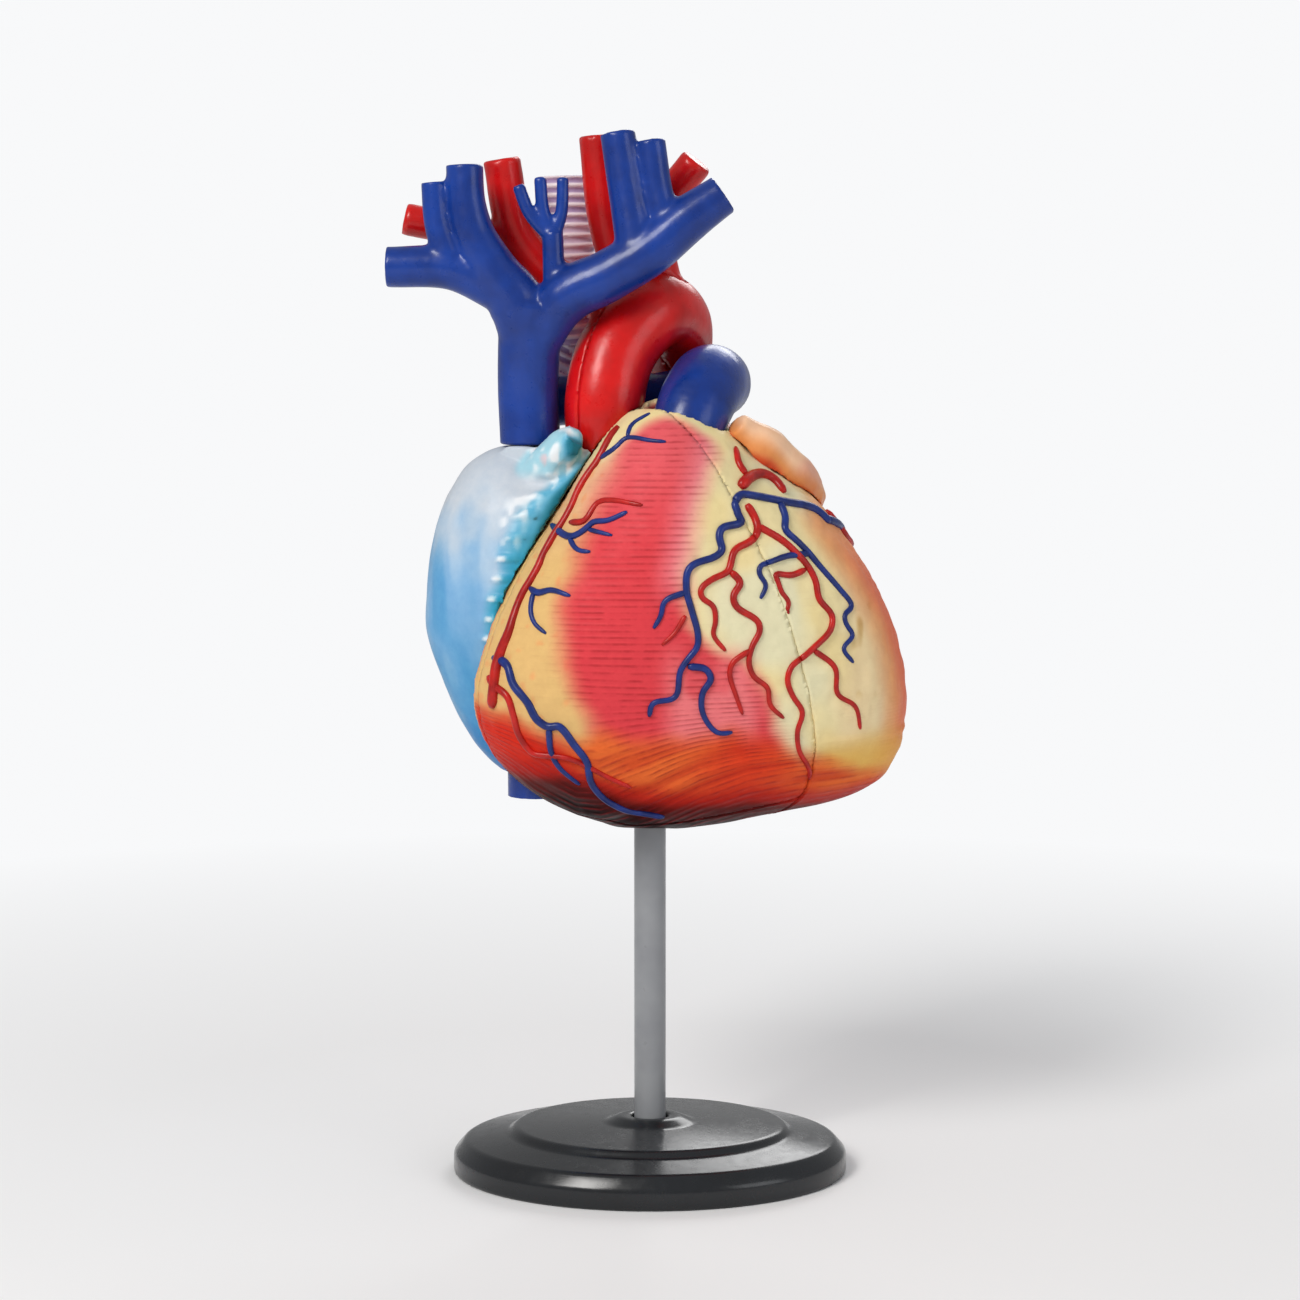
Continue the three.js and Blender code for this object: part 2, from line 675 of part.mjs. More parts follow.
const orifices = {
  tricuspid: {
    centre: tricuspidCentre, radius: tricuspidRadius, depth: tricuspidDepth, leaflets: tricuspidLeaflets,
  },
  mitral: { centre: mitralCentre, radius: mitralRadius, depth: mitralDepth, leaflets: mitralLeaflets },
  aortic: { centre: aorticCentre, radius: outletRadius },
};
const rightAtriumBody = inflated(rightAtrium);
const leftAtriumBody = inflated(leftAtrium);
const plateBack = halfGap + plateThickness;
const leftAtriumFloor = 26;
const behindPlate = beyond(groovePlane, plateBack + fitGap);
const ventriclesGrown = inflated(ventricles, -fitGap);
const plateRoom = ventriclesGrown.intersect(before(groovePlane, plateBack + fitGap));
const cavaPassage = disc(
  cavaLine[0][3] + fitGap, -heartHeight, inferiorCollar.bottom, inferiorCollar.x, inferiorCollar.y);
const intoVentricle = groovePlane.normal.clone().negate();

// The plate, with the round back of the ventricles below the atria
function valvePlate() {
  const atriumRoom = inflated(rightAtrium, -fitGap).add(inflated(leftAtrium, -fitGap));
  const backOfVentricles = outerBody
    .intersect(beyond(groovePlane, plateBack))
    .intersect(before({ normal: UP, distance: leftAtriumFloor }))
    .subtract(atriumRoom);
  let plate = outerBody
    .intersect(beyond(groovePlane, halfGap))
    .intersect(before(groovePlane, plateBack))
    .add(backOfVentricles)
    .subtract(trunkRoom)
    .subtract(vessel(rightPulmonaryLine, { grow: fitGap }))
    .subtract(cavaPassage);
  for (const { centre, radius } of Object.values(orifices)) {
    const hole = disc(radius, -plateThickness, ventricles.back);
    plate = plate.subtract(aimed(hole, groovePlane.normal, centre));
  }
  return largest(plate);
}

addPiece(heart, "av_plate", valvePlate(), "innerPeach");

// Valves

// A ring in its opening, with a skirt parted into leaflets
function flapValve({ centre, radius, depth, leaflets }) {
  const outside = radius - fitGap;
  const inside = outside - leafletThickness;
  const edge = 0.62 * outside;
  const skirt = revolved([
    [outside, -plateThickness], [outside, 0], [edge, depth], [edge - leafletThickness, depth],
    [inside, 0], [inside, -plateThickness], [outside, -plateThickness],
  ], 18);
  let valve = skirt;
  for (let index = 0; index < leaflets; index += 1) {
    const slit = block(radius, leafletSlit, depth, at(radius / 2, 0, depth / 2 + 1.2));
    valve = valve.subtract(slit.rotate([0, 0, (360 * index) / leaflets]));
  }
  return aimed(valve, intoVentricle, centre);
}

// A ring with three pockets that meet in its middle
function cuspValve(centre, direction, radius) {
  const wall = leafletThickness / 2;
  const ring = revolved([
    [radius, 0], [radius, cuspHeight], [radius - wall, cuspHeight], [radius - wall, 0], [radius, 0],
  ], 12);
  const bulge = 0.46 * radius;
  const place = (index) => {
    const angle = (2 * Math.PI * index) / 3;
    return [(radius * Math.cos(angle)) / 2, (radius * Math.sin(angle)) / 2, cuspHeight];
  };
  const pocket = (size) => joined([0, 1, 2].map((index) =>
    solid(new THREE.SphereGeometry(size, 8, 6)).translate(place(index))));
  const cusps = pocket(bulge).subtract(pocket(bulge - wall))
    .intersect(before({ normal: UP, distance: cuspHeight }));
  return aimed(largest(ring.add(cusps)), direction, centre);
}

addPiece(heart, "tricuspid_valve", flapValve(orifices.tricuspid), "valveWhite");
addPiece(heart, "mitral_valve", flapValve(orifices.mitral), "valveWhite");
addPiece(heart, "aortic_valve", cuspValve(
  aorticCentre.clone().addScaledVector(groovePlane.normal, halfGap),
  groovePlane.normal, outletRadius - fitGap), "valveWhite");

const trunkStart = at(...trunkLine[0].slice(0, 3));
const trunkDirection = at(...trunkLine[1].slice(0, 3)).sub(trunkStart).normalize();
addPiece(heart, "pulmonary_valve", cuspValve(
  trunkStart.clone().addScaledVector(trunkDirection, -cuspHeight - fitGap),
  trunkDirection, trunkLine[0][3] - fitGap), "valveWhite");

// Papillary muscles, each with chords that fan out to the edge of its valve

function papillaryMuscle({ foot, tip, footRadius, tipRadius, valve, turn }) {
  const belly = foot.clone().lerp(tip, 0.5);
  const bulk = vessel([
    [...foot.toArray(), footRadius],
    [...belly.toArray(), 0.6 * (footRadius + tipRadius)],
    [...tip.toArray(), tipRadius],
  ], { sides: 8 });
  const beside = intoVentricle.clone().cross(alongGroove);
  const edge = 0.62 * (valve.radius - fitGap);
  const chords = [];
  for (let index = 0; index < chordCount; index += 1) {
    const angle = turn + chordSpread * (index - (chordCount - 1) / 2);
    const end = valve.centre.clone()
      .addScaledVector(intoVentricle, valve.depth + chordRadius + fitGap)
      .addScaledVector(alongGroove, edge * Math.cos(angle))
      .addScaledVector(beside, edge * Math.sin(angle));
    chords.push(vessel([
      [tip.x, tip.y, tip.z - chordRadius, chordRadius],
      [end.x, end.y, end.z, chordRadius],
    ], { sides: 5, stepsPerSpan: 1 }));
  }
  return joined([bulk, ...chords]);
}

addPiece(heart, "rv_papillary_muscle", papillaryMuscle({
  foot: at(-5.2, -5.4, 3.4), tip: at(-5.6, -6, 11.5), footRadius: 2.3, tipRadius: 1.3,
  valve: orifices.tricuspid, turn: -Math.PI / 2,
}).intersect(rightCavity), "muscleRed");
addPiece(heart, "lv_papillary_anterior", papillaryMuscle({
  foot: at(20, -2, 6), tip: at(15.5, 2, 17.5), footRadius: 2.6, tipRadius: 1.2,
  valve: orifices.mitral, turn: -Math.PI / 2 - 0.7,
}).intersect(leftCavity), "muscleRed");
addPiece(heart, "lv_papillary_posterior", papillaryMuscle({
  foot: at(13, 9.5, 3), tip: at(12.5, 8, 16.5), footRadius: 2.6, tipRadius: 1.2,
  valve: orifices.mitral, turn: -Math.PI / 2 + 0.7,
}).intersect(leftCavity), "muscleRed");

// Atria

const rightSideOfSeptum = before(interatrialPlane, -(atrialSeptumThickness / 2 + fitGap));
const leftSideOfSeptum = beyond(interatrialPlane, atrialSeptumThickness / 2 + fitGap);
const arteryRoom = aortaRoom
  .add(vessel(trunkLine, { grow: fitGap }))
  .add(vessel(rightPulmonaryLine, { grow: fitGap }));

// Folds in a row along the edge of the right atrium that meets the groove
function edgeFolds() {
  const heights = Array.from({ length: foldCount }, (_, index) => lowestFold + index * foldPitch);
  const places = besideGroove(skinOf(rightAtriumBody), foldInset, rightAtrium.centre[0] + 4, heights);
  return joined(places.map((place) => {
    const centre = place.addScaledVector(towardsAtrium, foldRise - foldRadius);
    return solid(new THREE.SphereGeometry(foldRadius, 7, 5)).translate(centre.toArray());
  }));
}

function rightAtriumShell() {
  const { x, y, radius, bottom, top } = superiorCollar;
  const inlet = inferiorCollar;
  const hollow = inflated(rightAtrium, atriumWall);
  const tip = vessel(auricleTipLine, { sides: narrowBranchSides }).subtract(hollow);
  return rightAtriumBody
    .add(edgeFolds())
    .subtract(hollow)
    .intersect(before({ normal: UP, distance: top }))
    .add(disc(radius, bottom, top, x, y))
    .subtract(cavaPassage)
    .add(disc(inlet.radius, inlet.bottom, inlet.top, inlet.x, inlet.y))
    .intersect(beyond(groovePlane, halfGap))
    .intersect(rightSideOfSeptum)
    .add(tip)
    .subtract(plateRoom)
    .subtract(reliefRoom)
    .subtract(arteryRoom);
}

const rightAtriumWalls = rightAtriumShell();
const rightCover = rightAtriumWalls.intersect(before(rightCoverPlane, -halfGap));
const rightBack = rightAtriumWalls.intersect(beyond(rightCoverPlane, halfGap));
addPiece(heart, "ra_cover", largest(rightCover), "paleBlue");
addPiece(heart, "ra_back", largest(rightBack), "paleBlue");
addPiece(heart, "inferior_vena_cava", vessel(cavaLine), "veinBlue");

const atrialSeptum = rightAtriumBody.add(leftAtriumBody)
  .intersect(beyond(interatrialPlane, -atrialSeptumThickness / 2))
  .intersect(before(interatrialPlane, atrialSeptumThickness / 2))
  .intersect(behindPlate)
  .subtract(arteryRoom);
addPiece(heart, "atrial_septum", largest(atrialSeptum), "innerPeach");

const leftAtriumWalls = leftAtriumBody
  .subtract(inflated(leftAtrium, atriumWall))
  .intersect(behindPlate)
  .intersect(leftSideOfSeptum)
  .subtract(arteryRoom);
const leftAtriumGrown = inflated(leftAtrium, -fitGap);
const leftFront = leftAtriumWalls.intersect(before(leftCoverPlane, -halfGap));
const leftCover = leftAtriumWalls.intersect(beyond(leftCoverPlane, halfGap));
addPiece(heart, "la_front", largest(leftFront), "heartPink");
addPiece(heart, "la_back_cover", largest(leftCover), "heartPink");

const rightAtriumGrown = inflated(rightAtrium, -fitGap);
for (const [place, line] of Object.entries(lungVeins)) {
  const free = vessel(line).subtract(leftAtriumGrown).subtract(rightAtriumGrown);
  addPiece(heart, `pulmonary_vein_${place}`, largest(free), "arteryRed");
}

const auricle = vessel(auricleLine)
  .subtract(ventriclesGrown)
  .subtract(reliefRoom)
  .subtract(leftAtriumGrown)
  .subtract(arteryRoom);
addPiece(heart, "left_auricle", largest(auricle), "fatCream");

// Vessels

const aortaShell = vessel(aortaLine)
  .subtract(vessel(aortaLumen, { grow: -vesselWall }))
  .subtract(plateRoom);
const archArteries = joined(headArteries.map((line) => branch(line)));
const archArteriesGrown = joined(headArteries.map((line) => branch(line, fitGap)));

addPiece(heart, "aorta_front", largest(aortaShell
  .intersect(beyond(aortaSeam, halfGap))
  .subtract(archArteriesGrown)), "arteryRed");
addPiece(heart, "aorta_back", largest(aortaShell
  .intersect(before(aortaSeam, -halfGap))
  .add(archArteries.subtract(vessel(aortaLine, { grow: -vesselWall })))), "arteryRed");
addPiece(heart, "pulmonary_trunk", largest(vessel(trunkLine)
  .subtract(vessel(rightPulmonaryLine, { grow: fitGap }))
  .subtract(aortaRoom)), "veinBlue");
addPiece(heart, "right_pulmonary_artery",
  largest(vessel(rightPulmonaryLine).subtract(aortaRoom)), "veinBlue");

const neckVeins = thyroidVeins.map((line) => vessel(line, { sides: 6 }));
const veinTree = joined([...veinLines.map((line) => branch(line)), ...neckVeins])
  .subtract(archArteriesGrown)
  .subtract(vessel(aortaLine, { grow: fitGap }));
addPiece(heart, "superior_vena_cava", largest(veinTree), "veinBlue");

// A ringed tube, as of the windpipe
function ringed({ line, radius, rib, ribs }) {
  const steps = 2 * ribs;
  const path = line.map(([x, y, z]) => at(x, y, z));
  const rings = sweepRings(path, steps, (t) =>
    circle(radius + (Math.round(t * steps) % 2 === 1 ? rib : 0), 8));
  return loft(rings, centreOf(rings[0]), centreOf(rings[rings.length - 1]));
}

const airways = joined([windpipe, rightBronchus, leftBronchus].map(ringed))
  .subtract(archArteriesGrown)
  .subtract(vessel(aortaLine, { grow: fitGap }))
  .subtract(vessel(rightPulmonaryLine, { grow: fitGap }));
addPiece(heart, "trachea", largest(airways), "cartilage");

export default model;
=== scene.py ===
"""Looks of the heart anatomy model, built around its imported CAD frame."""

import json
import math

import bmesh
import bpy
import numpy as np
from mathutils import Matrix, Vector
from mathutils.bvhtree import BVHTree


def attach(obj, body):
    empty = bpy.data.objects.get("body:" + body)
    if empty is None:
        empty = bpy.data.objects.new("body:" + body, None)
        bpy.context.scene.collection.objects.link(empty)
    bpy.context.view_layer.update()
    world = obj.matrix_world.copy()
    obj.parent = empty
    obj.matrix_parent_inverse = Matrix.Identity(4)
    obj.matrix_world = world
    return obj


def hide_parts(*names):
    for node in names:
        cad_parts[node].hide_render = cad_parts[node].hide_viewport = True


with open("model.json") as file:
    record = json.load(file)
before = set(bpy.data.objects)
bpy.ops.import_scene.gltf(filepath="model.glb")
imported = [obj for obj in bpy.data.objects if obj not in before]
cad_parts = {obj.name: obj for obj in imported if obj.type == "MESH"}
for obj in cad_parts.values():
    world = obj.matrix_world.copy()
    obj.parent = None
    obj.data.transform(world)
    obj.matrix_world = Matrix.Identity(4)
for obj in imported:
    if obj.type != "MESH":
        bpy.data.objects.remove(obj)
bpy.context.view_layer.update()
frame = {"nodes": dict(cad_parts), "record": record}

MM = 0.001
HEART = np.array([0.0, 0.0, 44.0])
FINE = 1.0

# Camera, as seen in the photograph: level with the heart, slightly from above
camera = bpy.data.objects.new("camera", bpy.data.cameras.new("camera"))
bpy.context.scene.collection.objects.link(camera)
bpy.context.scene.camera = camera
CAMERA_FROM = Vector((0.0, -0.36, 0.104))
CAMERA_TO = Vector((0.0, 0.0, 0.0665))
camera.location = CAMERA_FROM
camera.rotation_euler = (CAMERA_TO - CAMERA_FROM).to_track_quat("-Z", "Y").to_euler()
camera.data.lens = 80
camera.data.clip_start = 0.01
camera.data.clip_end = 20


# Noise and ramps on arrays of points in millimetres

def hashed(cell, seed):
    n = (cell[:, 0] * 73856093) ^ (cell[:, 1] * 19349663) ^ (cell[:, 2] * 83492791) ^ (seed * 40503)
    n = ((n ^ (n >> 13)) * 1274126177) & 0x7FFFFFFF
    n = n ^ (n >> 15)
    return (n & 0xFFFF) / 32767.5 - 1.0


def noise(points, size, seed=0):
    """Smooth noise from -1 to 1 with features of the given size, which may differ by axis."""
    q = points / np.array(size, float)
    cell = np.floor(q).astype(np.int64)
    f = q - cell
    f = f * f * (3 - 2 * f)
    total = np.zeros(len(points))
    for corner in range(8):
        bits = np.array([corner & 1, (corner >> 1) & 1, (corner >> 2) & 1])
        weight = np.prod(np.where(bits, f, 1 - f), axis=1)
        total += weight * hashed(cell + bits, seed)
    return total


def ramp(value, low, high):
    t = np.clip((value - low) / (high - low), 0, 1)
    return t * t * (3 - 2 * t)


def fall(value, low, high):
    return 1 - ramp(value, low, high)


def bump(value, centre, width):
    return np.exp(-(((value - centre) / width) ** 2))


def rgb(text):
    return np.array([int(text[i:i + 2], 16) / 255 for i in (1, 3, 5)])


def mixed(colour, other, share):
    share = np.clip(share, 0, 1)[:, None]
    return colour * (1 - share) + other * share


def layered(colour, *layers):
    """The colour under layers of other colours, each laid on by its share."""
    for other, share in layers:
        colour = mixed(colour, other, share)
    return colour


def linear(colour):
    colour = np.asarray(colour, float)
    return np.where(colour <= 0.04045, colour / 12.92, ((colour + 0.055) / 1.055) ** 2.4)


def unit(vector):
    vector = np.array(vector, float)
    return vector / np.linalg.norm(vector)


# Planes that part the heart, as a unit normal and a distance

def plane_through(a, b, c, towards):
    a, b, c = (np.array(point, float) for point in (a, b, c))
    normal = unit(np.cross(b - a, c - a))
    if normal @ np.array(towards, float) < 0:
        normal = -normal
    return normal, float(normal @ a)


def plane_across(direction, point):
    normal = unit(direction)
    return normal, float(normal @ np.array(point, float))


def height_over(plane, points):
    return points @ plane[0] - plane[1]


GROOVE = plane_through((-3.5, -2, 51), (-21.3, -10, 16), (20, 21, 20), (-1, 1, 0))
SEPTAL = plane_through((10.4, -14, 43), (19.7, -10, 7.6), (0, 8, 21), (1, 1, 0))
CORONAL = plane_through((0, -8, 1), (10, -8, 1), (0, 1.36, 40), (0, -1, 0))
ALONG_GROOVE = unit((GROOVE[0][1], -GROOVE[0][0], 0))
RIGHT_COVER = plane_across(ALONG_GROOVE, (-10.1, 5, 28))
LEFT_COVER = plane_across((0, 1, 0), (0, 17, 0))
AORTA_SEAM = plane_across((0.787, -0.617, 0), (-5.5, 2.4, 50))

# Smooth versions of the rounded forms: an outline swelled to the front and to the back

VENTRICLES = dict(
    outline=[
        (1.9, 54.1), (8, 51.5), (13.5, 46.8), (20.6, 41.4), (24.8, 36.3), (28.1, 31.3), (30.8, 25.4),
        (32.5, 17), (31.3, 9.3), (28.4, 5.4), (22, 3.1), (14, 1.7), (2, 0.2), (-6, 1.1), (-13, 4),
        (-18, 8.2), (-20.8, 12.5), (-22, 18), (-20.6, 24), (-17, 32), (-12.4, 39), (-7.6, 46.4),
        (-3.8, 51.3)],
    centre=(5, 26), middle=0, lean=0.15, front=18, back=18, fullness=0.87)
RIGHT_ATRIUM = dict(
    outline=[
        (-9.5, 50.5), (-12, 49), (-15, 48), (-19, 47.8), (-22, 46.3), (-24.4, 43.5), (-26.8, 38),
        (-28.1, 31.5), (-28.1, 24.5), (-26, 18), (-23.5, 12.5), (-20, 8), (-15.5, 5.5), (-10, 6.5),
        (-6, 14), (-2, 24), (1, 36), (0, 46), (-4, 50.5)],
    centre=(-14, 28), middle=4, lean=0, front=11.5, back=14, fullness=0.87)
LEFT_ATRIUM = dict(
    outline=[
        (6, 51), (13, 49.5), (18.5, 45), (21, 38), (18.5, 30), (12, 24.5), (6, 23), (-1, 25),
        (-7, 31), (-9, 38), (-6.5, 45), (-1, 49.5)],
    centre=(6, 38), middle=15, lean=0, front=10, back=9, fullness=0.85)


def spans(p, per_span):
    """Points of a centripetal curve through all the given points but the first and last."""
    out = []
    for i in range(1, len(p) - 2):
        a, b, c, d = p[i - 1:i + 3]
        d0, d1, d2 = (max(np.linalg.norm(v[:3]) ** 0.5, 1e-6) for v in (b - a, c - b, d - c))
        t1 = ((b - a) / d0 - (c - a) / (d0 + d1) + (c - b) / d1) * d1
        t2 = ((c - b) / d1 - (d - b) / (d1 + d2) + (d - c) / d2) * d1
        for s in np.arange(per_span) / per_span:
            point = (b + t1 * s + (3 * (c - b) - 2 * t1 - t2) * s ** 2
                     + (2 * (b - c) + t1 + t2) * s ** 3)
            point[3:] = (b + (c - b) * s)[3:]
            out.append(point)
    return out


def rounded(points, per_span=8):
    """A closed curve through the points."""
    p = np.array(points, float)
    return np.array(spans(np.concatenate([p[-1:], p, p[:2]]), per_span))


def through(points, per_span=8):
    """An open curve through points that may carry a radius as their last value."""
    p = np.array(points, float)
    p = np.concatenate([[2 * p[0] - p[1]], p, [2 * p[-1] - p[-2]]])
    return np.array([*spans(p, per_span), p[-2]])


def outward(verts, faces):
    """A tree of a closed skin whose normals point out."""
    volume = 0.0
    for face in faces:
        a = verts[face[0]]
        for i in range(1, len(face) - 1):
            volume += a @ np.cross(verts[face[i]], verts[face[i + 1]])
    if volume < 0:
        faces = [face[::-1] for face in faces]
    return BVHTree.FromPolygons([Vector(v) for v in verts], faces)


def form_tree(form, rings=90):
    """The form's skin as a tree for nearest-point queries, in heart millimetres."""
    outline = rounded(form["outline"])
    centre = np.array(form["centre"], float)
    spokes = outline - centre
    points = []
    for ring in range(1, rings):
        latitude = math.pi * (ring / rings - 0.5)
        spread = math.cos(latitude) ** form["fullness"]
        swell = math.copysign(abs(math.sin(latitude)) ** form["fullness"], latitude)
        depth = form["front"] if latitude < 0 else form["back"]
        xz = centre + spokes * spread
        y = form["middle"] + form["lean"] * (xz[:, 0] - centre[0]) + depth * swell
        points.append(np.stack([xz[:, 0], y, xz[:, 1]], axis=1))
    return outward(np.concatenate(points), tube_faces(rings - 1, len(outline)))


def ring_faces(rings, sides, total):
    """The faces from each ring of points to the next one, and to the first one at the end."""
    faces = []
    for ring in range(rings):
        for side in range(sides):
            a = ring * sides + side
            b = ring * sides + (side + 1) % sides
            faces.append((a, b, (b + sides) % total, (a + sides) % total))
    return faces


def tube_faces(rings, sides):
    total = rings * sides
    ends = [tuple(range(sides))[::-1], tuple(range(total - sides, total))]
    return ring_faces(rings - 1, sides, total) + ends


def heading(centres, i):
    """The way that a line of points takes at one of them."""
    return unit(centres[min(i + 1, len(centres) - 1)] - centres[max(i - 1, 0)])


def ring(centre, radius, across, beside, sides, wider=1.0):
    angles = [2 * math.pi * k / sides for k in range(sides)]
    return [centre + radius * (math.cos(angle) * across + wider * math.sin(angle) * beside)
            for angle in angles]


def tube(line, sides=28, per_span=8, ripple=None):
    """A closed tube along points with radii, in heart millimetres."""
    places = through(line, per_span)
    centres = places[:, :3]
    verts = []
    across = None
    travelled = 0.0
    for i, (centre, radius) in enumerate(zip(centres, places[:, 3])):
        along = heading(centres, i)
        if i:
            travelled += np.linalg.norm(centre - centres[i - 1])
        if ripple:
            radius = radius + ripple(travelled)
        if across is None:
            across = np.array([1.0, 0, 0]) if abs(along[0]) < 0.8 else np.array([0, 1.0, 0])
        across = unit(across - along * (across @ along))
        verts += ring(centre, radius, across, np.cross(along, across), sides)
    return np.array(verts), tube_faces(len(centres), sides)


def together(parts):
    """Vertices and faces of several meshes in one."""
    verts, faces, start = [], [], 0
    for points, polygons in parts:
        verts.append(points)
        faces.extend(tuple(start + i for i in polygon) for polygon in polygons)
        start += len(points)
    return np.concatenate(verts), faces


FAR = 99.0


def from_places(points, places):
    """Each point's distance from the nearest place."""
    away = np.full(len(points), FAR)
    for place in places:
        away = np.minimum(away, np.linalg.norm(points - place, axis=1))
    return away


def from_line(points, line):
    return from_places(points, through(line, 30)[:, :3])


def parted(mesh, plane, offset, side):
    """The part of a closed mesh that lies on one side of a plane, closed again."""
    made = bmesh.new()
    corners = [made.verts.new(vertex) for vertex in mesh[0]]
    for face in mesh[1]:
        made.faces.new([corners[i] for i in face])
    normal, distance = plane
    bmesh.ops.bisect_plane(
        made, geom=made.verts[:] + made.edges[:] + made.faces[:], dist=1e-5,
        plane_co=normal * (distance + offset), plane_no=normal * side, clear_inner=True)
    bmesh.ops.holes_fill(made, edges=made.edges[:])
    made.verts.index_update()
    verts = np.array([vertex.co[:] for vertex in made.verts])
    faces = [tuple(vertex.index for vertex in face.verts) for face in made.faces]
    made.free()
    return verts, faces


# Meshes as arrays, in heart millimetres

def read_array(items, name, width, kind=float):
    flat = np.empty(len(items) * width, kind)
    items.foreach_get(name, flat)
    return flat.reshape(-1, width)


def read_points(mesh):
    return read_array(mesh.vertices, "co", 3) / MM - HEART


def write_points(mesh, points):
    mesh.vertices.foreach_set("co", ((points + HEART) * MM).ravel())
    mesh.update()


def read_normals(mesh):
    return read_array(mesh.vertex_normals, "vector", 3)


def read_edges(mesh):
    return read_array(mesh.edges, "vertices", 2, np.int64)


def read_faces(mesh):
    return [tuple(polygon.vertices) for polygon in mesh.polygons]


def neighbour_means(points, edges):
    count = len(points)
    a, b = edges[:, 0], edges[:, 1]
    degree = np.bincount(a, minlength=count) + np.bincount(b, minlength=count)
    total = np.stack([
        np.bincount(a, points[b, k], count) + np.bincount(b, points[a, k], count)
        for k in range(3)], axis=1)
    return total / degree[:, None]


def relaxed(points, edges, rounds, pull=0.5, push=-0.52):
    """Smooths without shrinking, by pulling in and pushing out in turn."""
    for step in range(2 * rounds):
        share = pull if step % 2 == 0 else push
        points = points + share * (neighbour_means(points, edges) - points)
    return points


def filleted(mesh, rounds):
    """Fills the creases where forms join, and leaves what bulges as it is."""
    edges = read_edges(mesh)
    for _ in range(rounds):
        points, normals = read_points(mesh), read_normals(mesh)
        pull = neighbour_means(points, edges) - points
        rise = np.clip(np.sum(pull * normals, axis=1), 0, None)
        write_points(mesh, points + 0.7 * rise[:, None] * normals)
    write_points(mesh, relaxed(read_points(mesh), edges, 3))


# How far a skin is looked for, how deep a point still counts as skin, and where inner faces start
SEARCH = 6.0
SKIN_DEPTH = 0.5
INNER_DEPTH = 0.4

# How square to the skin and how near to it an inner point must be to move onto it
INNER_SQUARE = 0.6
INNER_REACH = 0.95


def level(value, span):
    """A straight rise from 0 to 1 over the span."""
    return min(max(value / span, 0), 1)


def fitted(points, normals, tree, reach, free):
    """Moves points near a form's skin onto it, less where they are free, and gives their depths."""
    moved = points.copy()
    depths = np.zeros(len(points))
    out = normals.copy()
    for i, point in enumerate(points):
        place, normal, _, distance = tree.find_nearest(Vector(point), SEARCH)
        if place is None:
            depths[i] = 1.5 * SEARCH
            continue
        depth = -(Vector(point) - place).dot(normal)
        depths[i] = math.copysign(distance, depth)
        if depth > INNER_DEPTH:
            facing = abs(normal.dot(Vector(normals[i])))
            share = level(facing - INNER_SQUARE, 0.3) * level(INNER_REACH - distance, 0.2)
        else:
            share = 1 - level(distance - 0.7 * reach, 0.3 * reach)
        near = 1 - level(distance - 0.1, 0.6)
        share += free[i] * (min(share, near) - share)
        if abs(depths[i]) < 0.6 and free[i] < 0.5:
            out[i] = normal
        moved[i] = point + share * (np.array(place) - point)
    return moved, depths, out


# How far from a cut its face and its edge still reach, and how square to it the face must be
FACE_REACH = 0.3
EDGE_REACH = 0.24
FACE_SQUARE = 0.8


def on_cuts(points, normals, depths, cuts):
    """Which points belong to each cut face or to its edge, with the cut's plane and new offset."""
    faces = []
    for plane, offset, wanted in cuts:
        away = np.abs(height_over(plane, points) - offset)
        facing = np.abs(normals @ plane[0])
        edge = (np.abs(depths) < SKIN_DEPTH) & (away < EDGE_REACH)
        faces.append(((away < FACE_REACH) & (facing > FACE_SQUARE) | edge, plane, wanted))
    return faces


def flattened(points, faces):
    for inside, plane, wanted in faces:
        away = height_over(plane, points[inside]) - wanted
        points[inside] -= away[:, None] * plane[0]
    return points


def attribute(mesh, name, values, kind):
    layer = mesh.attributes.new(name, kind, "POINT")
    layer.data.foreach_set("value" if kind == "FLOAT" else "color", values.ravel())


def mesh_object(name, verts, faces):
    mesh = bpy.data.meshes.new(name)
    mesh.from_pydata([tuple(v) for v in verts], [], [tuple(face) for face in faces])
    mesh.validate()
    obj = bpy.data.objects.new(name, mesh)
    bpy.context.scene.collection.objects.link(obj)
    return obj


def remeshed(name, verts, faces, voxel, rounds):
    """One fine, smooth mesh round closed meshes given in metres."""
    obj = mesh_object(name, verts, faces)
    obj.modifiers.new("weld", "WELD").merge_threshold = 1e-6
    remesher = obj.modifiers.new("remesh", "REMESH")
    remesher.mode = "VOXEL"
    remesher.voxel_size = voxel * FINE * MM
    made = bpy.data.meshes.new_from_object(
        obj.evaluated_get(bpy.context.evaluated_depsgraph_get()))
    obj.modifiers.clear()
    obj.data = made
    made.name = name
    write_points(made, relaxed(read_points(made), read_edges(made), rounds))
    return obj


def node_mesh(node):
    mesh = frame["nodes"][node].data
    return read_points(mesh), read_faces(mesh)


def finished(obj, body, material, nodes=()):
    obj.data.materials.clear()
    obj.data.materials.append(material)
    obj.data.shade_smooth()
    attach(obj, body)
    if nodes:
        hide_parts(*nodes)
    return obj


BODY_OF = {node: body for body, nodes in frame["record"]["behaviour"]["bodies"].items()
           for node in nodes}


def nowhere(points):
    return np.zeros(len(points))


